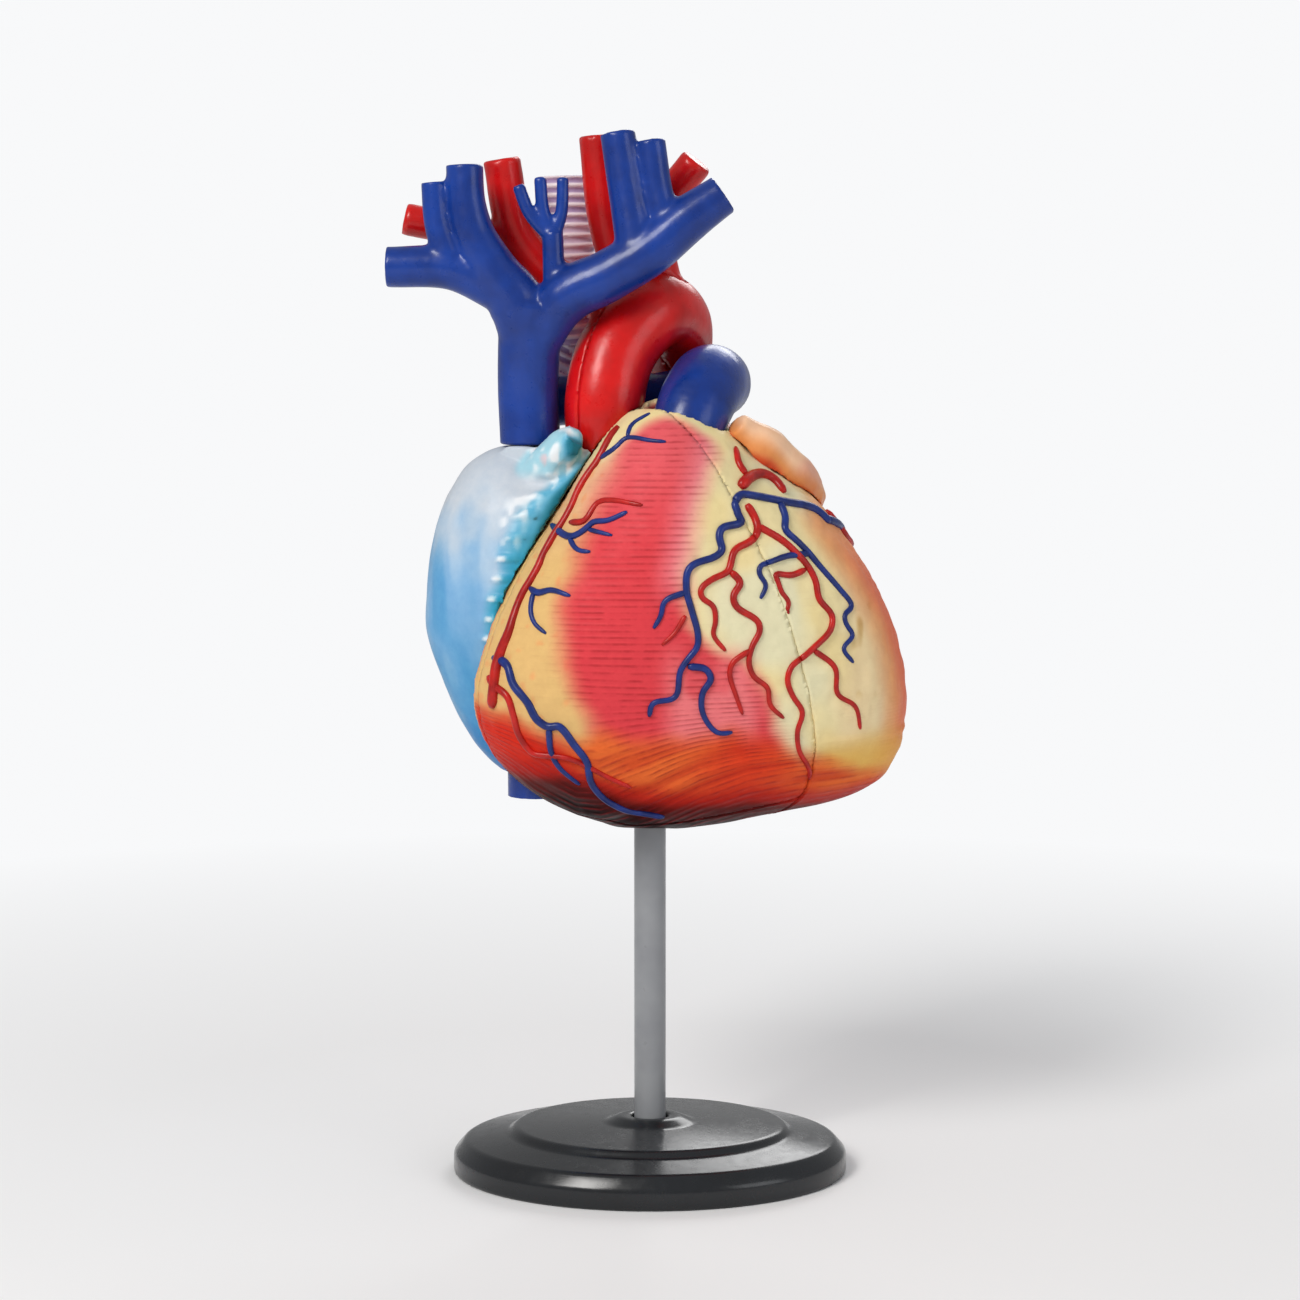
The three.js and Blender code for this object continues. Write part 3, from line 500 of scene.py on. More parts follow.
def sculpted(node, material, voxel=0.4, rounds=4, form=None, cuts=(), shape=None, paint=None,
             skins=None, reach=0.95, fillet=0, extra=(), free=nowhere):
    """Replaces a CAD node with a smooth mesh, shaped and painted by functions of place."""
    verts, faces = together(skins or [node_mesh(node), *extra])
    obj = remeshed(node + "_piece", (verts + HEART) * MM, faces, voxel, rounds)
    mesh = obj.data
    if fillet and not form:
        filleted(mesh, fillet)
    points, along = read_points(mesh), read_normals(mesh)
    depths, faces = np.zeros(len(points)), []
    if form:
        normals = along
        fit, depths, along = fitted(points, normals, form, reach, free(points))
        faces = on_cuts(points, normals, depths, cuts)
        points = flattened(relaxed(fit, read_edges(mesh), 2), faces)
        write_points(mesh, points)
        if fillet:
            filleted(mesh, fillet)
            points = flattened(read_points(mesh), faces)
            write_points(mesh, points)
        along = np.where((np.abs(depths) < SKIN_DEPTH)[:, None], along, read_normals(mesh))
    if shape:
        points = flattened(points + along * shape(points, depths)[:, None], faces)
        write_points(mesh, points)
    if paint:
        colour, grain = paint(points, depths)
        grain = np.full(len(points), grain)
        values = np.concatenate([linear(np.clip(colour, 0, 1)), grain[:, None]], axis=1)
        attribute(mesh, "paint", values, "FLOAT_COLOR")
        attribute(mesh, "phase", fibre_phase(points), "FLOAT")
    return finished(obj, BODY_OF[node], material, [node])


FIBRE_HEIGHT = 0.8
FIBRE_X = [-22, -14, -9, -6, 0, 6, 12, 18, 27]
FIBRE_RISE = [7, 0.5, -2.4, -2.6, -0.2, 3, 5.2, 6.2, 6.6]


def fibre_phase(points):
    """A field whose level lines are the painted muscle fibres."""
    x, _, z = points.T
    bend = ramp(19 - z, 0, 11) * np.interp(x, FIBRE_X, FIBRE_RISE)
    wander = 0.45 * noise(points, (16, 16, 5), 31)
    return (z - bend + wander) / FIBRE_HEIGHT


# Materials

def new_material(name):
    material = bpy.data.materials.new(name)
    material.use_nodes = True
    tree = material.node_tree
    shader = tree.nodes["Principled BSDF"]
    return material, tree, shader


def fill(tree, node, inputs):
    """Sets each input to a plain value or links it to a socket."""
    for name, value in inputs.items():
        if isinstance(value, bpy.types.NodeSocket):
            tree.links.new(value, node.inputs[name])
        else:
            node.inputs[name].default_value = value


def new_node(tree, kind, inputs, operation=None):
    node = tree.nodes.new("ShaderNode" + kind)
    if operation:
        node.operation = operation
    fill(tree, node, inputs)
    return node


def coordinates(tree):
    return tree.nodes.new("ShaderNodeTexCoord").outputs["Object"]


def noise_node(tree, size_mm, detail=3.0, roughness=0.55):
    return new_node(tree, "TexNoise", {
        "Vector": coordinates(tree), "Scale": 1 / (size_mm * MM), "Detail": detail,
        "Roughness": roughness}).outputs["Fac"]


def ranged(tree, value, low, high, to_low, to_high):
    return new_node(tree, "MapRange", {
        "Value": value, "From Min": low, "From Max": high, "To Min": to_low,
        "To Max": to_high}).outputs["Result"]


def product(tree, first, second):
    return new_node(tree, "Math", {0: first, 1: second}, "MULTIPLY").outputs[0]


def blended(tree, share, first, second, mode="MIX"):
    node = tree.nodes.new("ShaderNodeMix")
    node.data_type = "RGBA"
    node.blend_type = mode
    first, second = (value if isinstance(value, bpy.types.NodeSocket) else (*linear(value), 1)
                     for value in (first, second))
    fill(tree, node, {"Factor": share, "A": first, "B": second})
    return node.outputs["Result"]


def raised(tree, height, strength, distance_mm, under=None):
    inputs = {"Height": height, "Strength": strength, "Distance": distance_mm * MM}
    if under:
        inputs["Normal"] = under
    return new_node(tree, "Bump", inputs).outputs["Normal"]


def plastic(name, colour, shade, size=3.0, rough=0.34, coat=0.25, dents=0.12, spots=None):
    """Moulded and painted plastic: a colour that drifts into a shade, with fine surface waves."""
    material, tree, shader = new_material(name)
    drift = ranged(tree, noise_node(tree, size), 0.36, 0.64, 0, 1)
    base = blended(tree, drift, rgb(colour), rgb(shade))
    if spots:
        speck = ranged(tree, noise_node(tree, 0.9, 2.0), 0.6, 0.72, 0, 0.5)
        base = blended(tree, speck, base, rgb(spots))
    worn = ranged(tree, noise_node(tree, 1.4, 4.0), 0.3, 0.7, rough - 0.05, rough + 0.09)
    waves = raised(tree, noise_node(tree, 2.2, 2.0), dents, 0.5)
    fill(tree, shader, {
        "Base Color": base, "Roughness": worn,
        "Normal": raised(tree, noise_node(tree, 0.8, 1.0), 0.04, 0.03, waves),
        "Specular IOR Level": 0.3, "Coat Weight": coat, "Coat Roughness": 0.2})
    return material


def attribute_node(tree, name):
    node = tree.nodes.new("ShaderNodeAttribute")
    node.attribute_name = name
    return node.outputs


def painted(name, rough=0.47, coat=0.05, fibre_depth=0.4, mottle=0.2, brush=0.5):
    """Brushed paint on plastic: the place's own colour, mottled, with fibres where it is muscle."""
    material, tree, shader = new_material(name)
    own = attribute_node(tree, "paint")
    turn = product(tree, attribute_node(tree, "phase")["Fac"], 2 * math.pi)
    wave = new_node(tree, "Math", {0: turn}, "SINE").outputs[0]
    broken = ranged(tree, noise_node(tree, 2.4, 3.0), 0.38, 0.62, 0.15, 1)
    muscle = product(tree, product(tree, wave, broken), own["Alpha"])
    dark = ranged(tree, muscle, 0.1, 1, 0, brush)
    base = blended(tree, dark, own["Color"], rgb("#8c1c20"))
    patch = ranged(tree, noise_node(tree, 1.1, 4.0, 0.65), 0.35, 0.7, 0, mottle)
    base = blended(tree, patch, base, rgb("#fff2e2"), "SOFT_LIGHT")
    worn = ranged(tree, noise_node(tree, 1.6, 4.0), 0.3, 0.7, rough - 0.07, rough + 0.1)
    under = raised(tree, muscle, fibre_depth, 0.09)
    fill(tree, shader, {
        "Base Color": base, "Roughness": worn,
        "Normal": raised(tree, noise_node(tree, 0.5, 3.0), 0.16, 0.06, under),
        "Specular IOR Level": 0.08, "Coat Weight": coat, "Coat Roughness": 0.25})
    return material


VEIN_BLUE = plastic("vein_blue_enamel", "#0f3a92", "#0b2d78", 6.0, 0.30, 0.2, 0.16)
ARTERY_RED = plastic("artery_red_enamel", "#dc110f", "#bb0b09", 6.0, 0.30, 0.2, 0.16)
CORONARY_RED = plastic("coronary_red_paint", "#c01a12", "#980f0b", 2.0, 0.36, 0.12, 0.1)
CORONARY_BLUE = plastic("coronary_blue_paint", "#16307e", "#0f2260", 2.0, 0.36, 0.12, 0.1)
PEACH = plastic("peach_plastic", "#efb18e", "#e3946d", 4.0, 0.45, 0.08, 0.2, "#f6c9a6")
MUSCLE = plastic("muscle_plastic", "#a1343a", "#7f2227", 2.0, 0.42, 0.12, 0.35, "#c0524f")
VALVE = plastic("valve_plastic", "#f0e9da", "#e2d3b4", 2.0, 0.42, 0.12, 0.2)
ROD = plastic("rod_plastic", "#97999c", "#8a8c90", 8.0, 0.32, 0.2, 0.03)
BASE = plastic("base_plastic", "#15171a", "#1b1e22", 12.0, 0.22, 0.4, 0.03)
PAINTED = painted("painted_wall", coat=0.02)
PAINTED_SOFT = painted("painted_atrium", 0.36, 0.15, 0.0, 0.22, 0.0)

# Colours of the paint on the ventricles and atria
PINK = rgb("#d63e46")
# Lighter pink at the top of the right ventricle, partly a painted highlight where light falls from
# above
PINK_TOP_AND_HIGHLIGHT = rgb("#df5960")
HAZE = rgb("#e97478")
TAN = rgb("#dcb374")
TAN_TOP = rgb("#e2ae86")
CREAM = rgb("#ead9a4")
CREAM_PALE = rgb("#e2dbb4")
YELLOW = rgb("#ebcf8a")
APRICOT = rgb("#e8925c")
SALMON = rgb("#df5c46")
AMBER = rgb("#e3ab4c")
ORANGE = rgb("#e4672f")
RED_ORANGE = rgb("#d02a18")
RED = rgb("#ad1a12")
# Deep red and maroon of the underside: partly the model's paint, partly painted shade
DEEP_RED_AND_SHADE = rgb("#4e0f0e")
MAROON_AND_SHADE = rgb("#1e0708")
LINING = rgb("#e3d264")
FLESH = rgb("#9c3236")
SKY = rgb("#79abd6")
SKY_PALE = rgb("#a9c6e0")
SKY_DEEP = rgb("#4591c6")
GREY = rgb("#c6ccd4")
AZURE = rgb("#2278bd")
TEAL = rgb("#1a93bb")
# Dark teal for the crease at the groove: painted shade
TEAL_CREASE_SHADE = rgb("#0b5f72")
ROYAL = rgb("#1b46ac")
WHITE = rgb("#eef1f4")
PEACH_PALE = rgb("#f2c29e")
PEACH_PINK = rgb("#e08f7c")

# Lines in the front view that part the painted zones
FLOOR = ([-22, -18, -13, -6, 2, 14, 22, 28.4, 31.3, 32.5],
         [16, 8.2, 4, 1.1, 0.2, 1.7, 3.1, 5.4, 9.3, 17])
SEAM = ([3, 12, 18.7, 25, 30, 34, 38, 43.4, 52], [-2, 1, 3, 5.6, 4.9, 5.5, 8.4, 10.8, 8])
PINK_FROM = ([8, 15.7, 19, 22.5, 30, 36, 44, 50, 54],
             [-3, -6.2, -7.8, -9.3, -9.7, -7.4, -4.2, -2.4, -1])
PINK_TO = ([10, 14, 17, 21, 24, 27, 30, 34, 38, 42, 46.5, 52],
           [17, 16, 15, 13, 9, 5, 3.9, 4.3, 5.2, 6.3, 8, 9.5])
ORANGE_TOP = ([-21, -17, -13, -9, -6, 0, 4, 10, 14, 18, 22, 26, 30],
              [17, 16.3, 13.8, 13, 14.5, 13, 13.3, 14.2, 13.2, 11, 10.3, 8.4, 7.4])
# The top of the dark band underneath, which is partly the model's paint and partly painted shade
DARK_AND_SHADE_TOP = ([-20, -13.7, -10.3, -6.9, -3.4, 3.4, 10, 14, 18, 22, 27],
            [8.5, 8.6, 9.0, 7.4, 5.9, 5.0, 4.9, 4.7, 4.2, 4.0, 4.6])


def streaks(points, long, wide, seed):
    """Noise drawn out along the muscle fibres."""
    x, y, _ = points.T
    across = fibre_phase(points) * FIBRE_HEIGHT / wide
    return noise(np.stack([x / long, y / long, across], axis=1), 1.0, seed)


def ventricle_paint(points, depths):
    x, y, z = points.T
    wander = noise(points, 6, 3) + 0.5 * noise(points, 2.4, 4)
    edge = from_places(points[:, [0, 2]], rounded(VENTRICLES["outline"], 12))

    # Right ventricle
    tan_zone = fall(x - np.interp(z, *PINK_FROM) + 0.7 * wander, -3.2, 1.4)
    tan = layered(TAN, (TAN_TOP, ramp(z + wander, 34, 45)),
                  (APRICOT, ramp(noise(points, 1.0, 8), 0.35, 0.8) * 0.45))
    leftward = x - np.interp(z, *PINK_TO)
    cream_zone = ramp(leftward + 0.7 * wander, -2.4, 1.8)
    cream = mixed(CREAM, YELLOW, ramp(noise(points, 4, 22), 0.1, 0.7) * 0.35)
    rim = fall(edge + 0.4 * wander, 1.4, 3.2) * ramp(z, 44, 48)
    colour = layered(
        PINK,
        # Lighter towards the top: partly painted highlight
        (PINK_TOP_AND_HIGHLIGHT, ramp(z + 1.5 * wander, 35, 48)),
        (tan, tan_zone),
        (rgb("#e98a92"), ramp(leftward, -5, -0.5) * ramp(z, 28, 34) * 0.8),
        (cream, cream_zone),
        (cream, rim))

    # Left ventricle
    seam = x - np.interp(z, *SEAM)
    mottle = ramp(noise(points, (1.5, 2, 2.2), 14), 0.15, 0.6)
    mottle = mottle * ramp(x, 24, 25.6) * fall(x, 27.5, 29) * ramp(z, 17, 20)
    haze = fall(z + wander, 21, 27) * fall(x + wander, 11, 14.5) * ramp(x, 0, 4)
    flank = ramp(seam, 7, 12) * ramp(z, 3, 8)
    colour = layered(
        colour,
        (CREAM_PALE, ramp(seam, 0, 4) * cream_zone * ramp(noise(points, 5, 24), -0.3, 0.3)),
        (rgb("#f0d3a6"), ramp(x + wander, 21, 26) * ramp(z, 8, 13) * 0.7),
        (rgb("#ad8140"), mottle * fall(z, 28, 31) * 0.6),
        (HAZE, haze * (1 - 0.6 * ramp(noise(points, (3, 3, 4), 23), 0.2, 0.6))),
        # Apricot and salmon towards the outline of the left flank: partly the model's own orange rim
        # paint, partly painted shade where the side turns away
        (APRICOT, fall(edge + 0.3 * wander, 1.8, 5.0) * flank * 0.8),
        (SALMON, fall(edge + 0.2 * wander, 0.4, 2.6) * flank * fall(z, 30, 40) * 0.7))

    # The lower part: amber at the tip, orange, then red and maroon underneath, partly the model's own
    # dark paint and partly painted shade of the underside
    orange = fall(z - np.interp(x, *ORANGE_TOP) + 0.6 * wander, -2.2, 1.6)
    warm = layered(
        ORANGE,
        (RED_ORANGE, fall(x + wander, -12.5, -7)),
        (RED_ORANGE, bump(x + 1.5 * wander, 12, 6) * 0.7),
        (AMBER, ramp(streaks(points, 10, 2.2, 26), 0.1, 0.8) * ramp(x, -11, -7) * fall(x, 6, 12) * 0.6))
    # Red, deep red and maroon towards the bottom: partly the model's own paint, partly painted shade
    # where the underside turns away from the light
    dark = z - np.interp(x, *DARK_AND_SHADE_TOP) + 0.3 * wander
    weak = 1 - 0.45 * ramp(x, 18, 25)
    colour = layered(
        colour,
        (AMBER, ramp(x, 18, 22) * fall(z + wander, 10, 15) * 0.8),
        (warm, orange),
        (RED, ramp(streaks(points, 11, 1.4, 27), 0.0, 0.6) * orange * 0.32),
        (RED, fall(dark, 0.2, 3.0) * 0.9),
        (DEEP_RED_AND_SHADE, fall(dark, -1.5, 0.7) * weak),
        (MAROON_AND_SHADE, fall(dark, -4, -1.7) * weak))

    # The back, the plate's back, and the inner and cut faces
    rear = layered(
        APRICOT,
        (SALMON, ramp(2.5 * wander + 17 - z, 0, 9)),
        (YELLOW, ramp(noise(points, 5, 21), 0.1, 0.7) * 0.7),
        (RED, ramp(streaks(points, 9, 1.2, 28), 0.3, 0.8) * ramp(noise(points, 4, 29), -0.5, 0.4)
         * 0.25))
    plate_back = ramp(height_over(GROOVE, points), 1.3, 1.9)
    inner = ramp(depths, 0.4, 0.8) * (1 - plate_back)
    colour = layered(
        colour,
        (rear, ramp(y, 3, 8) * ramp(z - np.interp(x, *FLOOR), 2, 5)),
        (rear, plate_back),
        (mixed(FLESH, rgb("#bb4c4a"), 0.5 + 0.5 * noise(points, 1.5, 9)), inner))
    muscle = (1 - 0.8 * tan_zone) * (1 - 0.85 * cream_zone) * (1 - rim)
    grain = np.clip(muscle + 0.7 * orange, 0, 1) * (1 - inner) + 0.5 * inner
    return colour, grain


def ventricle_shape(points, depths):
    x, _, z = points.T
    fat = fall(x - np.interp(z, *PINK_FROM), -1.5, 0.5) + ramp(x - np.interp(z, *PINK_TO), -1, 1.5)
    fat = np.clip(fat, 0, 1) * ramp(z, 12, 15)
    lumps = 0.11 * noise(points, 2.0, 41) + 0.07 * noise(points, 1.1, 42)
    fibres = 0.04 + 0.14 * fall(z - np.interp(x, *FLOOR), 7, 13)
    fibres = fibres * streaks(points, 11, 1.4, 27)
    swell = 0.12 * noise(points, 9, 44)
    return fall(depths, 0.25, 0.6) * (fat * lumps - (1 - fat) * fibres + swell)


FOLD_START = 14.5
FOLD_PITCH = 2.5


def folds(points):
    """The row of folds along the edge of the right atrium, 0 between them and 1 on their crests."""
    z = points[:, 2]
    crease = height_over(GROOVE, points)
    turn = 2 * math.pi * (z - FOLD_START) / FOLD_PITCH + 0.7 * noise(points, (40, 40, 4), 61)
    crest = np.clip(np.cos(turn), 0, 1) ** 0.8 * (0.75 + 0.35 * noise(points, (40, 40, 2.4), 62))
    ends = ramp(z, 12, 14) * fall(z, 45, 47)
    return crest * bump(crease, 2.5, 1.0) * ends


AURICLE_TIP = [
    (-14.6, -0.8, 43.2, 2.9), (-12.3, -2.4, 46, 2.6), (-10.5, -3.2, 48.2, 2.3),
    (-9.6, -3.5, 49.6, 1.6), (-9.3, -3.6, 50.5, 0.8)]


def on_auricle_tip(points):
    return fall(from_line(points, AURICLE_TIP), 3.0, 4.4) * ramp(points[:, 2], 42, 44.5)


def right_atrium_paint(points, depths):
    _, y, z = points.T
    wander = noise(points, 4, 51) + 0.5 * noise(points, 1.7, 52)
    brush = noise(points, (2.2, 2.2, 7), 53)
    crease = height_over(GROOVE, points)
    front = fall(y, 6, 10)
    crests = ramp(folds(points), 0.35, 0.75) * ramp(noise(points, (9, 9, 2.6), 64), -0.6, 0)
    flecks = ramp(noise(points, (0.9, 0.9, 1.3), 65), -0.15, 0.45)
    rim = ramp(crease, 0.8, 1.9) * fall(crease + wander, 3.6, 5.4) * ramp(z, 31, 40) * front
    tip = fall(from_line(points, AURICLE_TIP), 2.7, 3.6) * ramp(z, 43.5, 45.5)
    tip = tip * ramp(crease, 0.6, 1.6)
    colour = layered(
        SKY,
        (SKY_PALE, ramp(brush, 0, 0.6) * 0.7),
        (SKY_DEEP, ramp(-brush, 0.05, 0.7) * fall(z, 32, 41) * 0.6),
        (GREY, ramp(z + 3 * wander, 31, 43) * 0.9),
        (SKY_DEEP, ramp(30 - z + 2.5 * wander, 0, 15) * 0.75),
        (AZURE, ramp(16 - z + 1.5 * wander, 0, 7) * 0.9),
        (ROYAL, ramp(8.5 - z, 0, 2.5)),
        (mixed(TEAL, rgb("#54acd0"), ramp(z + wander, 32, 40)),
         fall(crease + 0.5 * wander, 1.4, 3.6) * front * 0.9),
        # White on the fold crests: partly the model's white paint, partly painted highlight on the lit
        # crests
        (WHITE, crests * 0.9),
        # Dark teal right at the groove: painted shade in the crease
        (TEAL_CREASE_SHADE, fall(crease, 0.3, 1.0) * front * 0.8),
        (WHITE, flecks * rim * 0.8),
        (rgb("#9bcddd"), tip * 0.9),
        (WHITE, tip * flecks * 0.9),
        (rgb("#e9b9bd"), tip * ramp(noise(points, (1.3, 1.3, 1.8), 68), 0.35, 0.7) * 0.6),
        (LINING, ramp(depths, 0.5, 0.9) * fall(z, 46.2, 46.8)))
    return colour, 0


def right_atrium_shape(points, depths):
    _, y, z = points.T
    swell = 0.14 * noise(points, 5, 66) + 0.05 * noise(points, 1.8, 63)
    crease = height_over(GROOVE, points)
    rim = bump(crease, 2.2, 1.7) * ramp(z, 16, 30) * fall(y, 2, 7)
    rim = rim * (0.35 + 0.75 * ramp(z, 32, 43)) * ramp(from_line(points, AURICLE_TIP), 3.0, 5.5)
    crinkle = on_auricle_tip(points) * (0.2 * noise(points, 1.8, 67))
    return fall(depths, 0.3, 0.7) * (0.5 * folds(points) + swell + crinkle + rim)


# How far over the groove the left atrium starts, just behind the valve plate
BEHIND_PLATE = 2.45


def left_atrium_paint(points, depths):
    behind = ramp(height_over(GROOVE, points), BEHIND_PLATE + 0.2, BEHIND_PLATE + 0.8)
    colour = layered(
        rgb("#dd7f6c"),
        (PEACH_PALE, ramp(noise(points, 4, 71), -0.4, 0.7) * 0.8),
        (YELLOW, ramp(noise(points, 2.6, 72), 0.3, 0.8) * 0.5),
        (LINING, ramp(depths, 0.5, 0.9) * behind))
    return colour, 0


def left_atrium_shape(points, depths):
    before = fall(height_over(GROOVE, points), BEHIND_PLATE - 0.3, BEHIND_PLATE)
    skin = np.maximum(fall(depths, 0.3, 0.7), before)
    return skin * (0.16 * noise(points, 5, 73) + 0.06 * noise(points, 1.8, 74))


# The left auricle's middle in the front view, and the way that its tip points
AURICLE_X, AURICLE_Z = 9, 52
TIP_X, TIP_Z = 0.78, -0.62


def auricle_paint(points, depths):
    x, y, z = points.T
    lift = (x - AURICLE_X) * -TIP_Z + (z - AURICLE_Z) * TIP_X + 0.6 * noise(points, 3, 81)
    colour = layered(
        PEACH_PALE,
        (PEACH_PINK, ramp(noise(points, 3.4, 85), 0.0, 0.6) * 0.5),
        (TAN_TOP, ramp(noise(points, 2.8, 82), 0.1, 0.6) * 0.7),
        (rgb("#e0803c"), fall(lift, -0.6, 1.6) * 0.75),
        # Red-orange along the lower inner edge, where the auricle lies over the ventricle: partly the
        # model's paint, partly painted shadow
        (RED_ORANGE, fall(lift, -2.0, -0.5) * fall(y, 3, 7) * 0.7))
    return colour, 0


def auricle_shape(points, depths):
    x, _, z = points.T
    along = (x - AURICLE_X) * TIP_X + (z - AURICLE_Z) * TIP_Z
    pleats = np.sin(2 * math.pi * (along + 0.5 * noise(points, 3, 83)) / 5.5)
    return 0.16 * pleats + 0.10 * noise(points, 2.2, 84)


def plain_shape(size, depth, seed=90):
    return lambda points, depths: depth * noise(points, size, seed)


# The windpipe and its right and left bronchus
AIRWAYS = [
    [(-10.8, 14.6, 82, 3.5), (-10.6, 14.8, 71, 3.5), (-9.8, 16.2, 61, 3.5)],
    [(-10, 16.4, 62, 2.2), (-13.2, 17.8, 56.5, 2.2), (-17.2, 18.6, 52.5, 2.2)],
    [(-9.6, 16.4, 62, 2), (-6.6, 17.8, 58, 2), (-4.2, 18.6, 55.6, 2)]]
RING_PITCH = 1.25
RING_RISE = 0.38


def ring_ripple(travelled):
    return RING_RISE * max(0.0, math.cos(2 * math.pi * travelled / RING_PITCH)) ** 0.6


def trachea_paint(points, depths):
    """White on the rings and lavender between them."""
    height = np.full(len(points), -9.0)
    for line in AIRWAYS:
        radius = line[0][3]
        away = from_line(points, line)
        height = np.maximum(height, np.where(away < radius + 0.8, away - radius, -9))
    colour = layered(
        rgb("#a793ba"),
        (rgb("#f2ecf0"), ramp(height, 0.05, 0.24)),
        (rgb("#ecd6dc"), ramp(noise(points, 3, 91), 0.1, 0.7) * 0.5))
    return colour, 0


# Vessels, as centre line points with their radii

AORTA = [
    (2, 4.6, 36, 4.4), (-0.6, 7, 38, 4.4), (-3.6, 5.2, 42.6, 4.6), (-5.4, 2.4, 48, 4.8),
    (-5.7, 1.8, 53.5, 5), (-4, 3.5, 60, 5), (0.6, 7, 64.8, 4.9), (3.2, 12, 63.4, 4.6),
    (3.7, 16.9, 58.4, 4.3), (3.7, 18.6, 52.8, 4.2)]
TRUNK = [
    (3.2, -5.4, 43, 4), (3.9, -3.4, 48, 4.3), (5.6, -1, 53, 4.7), (7.2, 3.2, 55.6, 4.8),
    (8.2, 8, 55.9, 4.5), (8.8, 14, 55.4, 4.2)]
HEAD_ARTERIES = [
    [(-2, 6, 64.5, 3), (-8, 7, 67, 2.8), (-13.5, 7, 70, 2.6), (-17, 7, 75, 2.4),
     (-18.6, 6.5, 83.7, 2.35)],
    [(-13.5, 7, 70, 2.2), (-22, 7, 74.3, 2.1), (-30.8, 6.5, 76.3, 2)],
    [(-0.5, 8, 66, 2.4), (-3.6, 7.5, 70, 2.3), (-5.6, 7, 76, 2.2), (-6.7, 6.5, 86.6, 2.2)],
    [(2.5, 9, 66, 2.3), (1.2, 8.5, 71.5, 2.2), (1.6, 7.5, 77.5, 2.1), (5.9, 6, 83.4, 2.1)]]
VEIN_TREE = [
    [(-15, 3, 48.3, 3.8), (-15.2, 2.6, 55, 3.8), (-15, 1.6, 61, 3.9), (-14.6, 0.8, 66, 4)],
    [(-14.8, 1.2, 59, 2.6), (-10.6, -0.4, 66.2, 3.4), (-5.2, -1.5, 69, 3.2), (-0.1, -2, 72, 3.1),
     (4.8, -2, 76, 2.9), (9, -2, 78.9, 2.5)],
    [(-15, 1.6, 57, 2.8), (-16.4, 0.5, 65.5, 3.6), (-19.2, -0.1, 69.5, 3.1), (-21.6, -0.4, 74, 2.6),
     (-22.6, -0.5, 78, 2.35), (-22.8, -0.5, 82.5, 2.25)],
    [(-17.5, 0.3, 67, 3), (-24.5, 0.3, 69.9, 2.65), (-32.6, 0.3, 70.1, 2.5)],
    [(-24.3, -0.3, 69.8, 1.9), (-26.1, -0.3, 75, 1.65), (-26.6, -0.3, 80.4, 1.6)],
    [(-1.5, -2, 71.5, 2.6), (-2.6, -1.6, 78, 2.3), (-4, -1.2, 86.4, 2.15)],
    [(2.2, -2, 75, 2), (1, -1.8, 79, 1.9), (0, -1.6, 85.4, 1.85)],
    [(-11.8, -0.8, 67.5, 1.4), (-11.9, -0.8, 71, 1.35), (-12, -0.8, 74.3, 1.3)],
    [(-12, -0.8, 73.5, 0.9), (-14.8, -0.8, 76.6, 0.8), (-16.2, -0.8, 80, 0.75)],
    [(-12, -0.8, 73.5, 0.9), (-13.1, -0.8, 76.8, 0.8), (-13.5, -0.8, 81, 0.75)],
    [(-12, -0.8, 73.5, 0.9), (-10.9, -0.8, 76.8, 0.8), (-10.7, -0.8, 81, 0.75)]]
LUNG_ARTERY = [(6.5, 8, 54.6, 3.4), (0, 11, 53.9, 3), (-8, 11.9, 53.6, 3.1), (-17.6, 12.4, 53, 3.2)]


def smooth_union(lines, voxel=0.4, rounds=8):
    """A tree of the blended skin round several tubes."""
    verts, faces = together([tube(line) for line in lines])
    obj = remeshed("guide", (verts + HEART) * MM, faces, voxel, rounds)
    mesh = obj.data
    filleted(mesh, 12)
    tree = outward(read_points(mesh), read_faces(mesh))
    bpy.data.objects.remove(obj)
    return tree


# The left atrium's lip, which closes it where it reaches past the rim of the valve plate

UP_GROOVE = np.cross(ALONG_GROOVE, GROOVE[0])
LIP_CENTRE = np.array([9, 15.3, 36])
LIP_FORWARD = 1.45
LIP_BACK = 3.85
LIP_OVERLAP = 2.0
RIM_GAP = 0.35


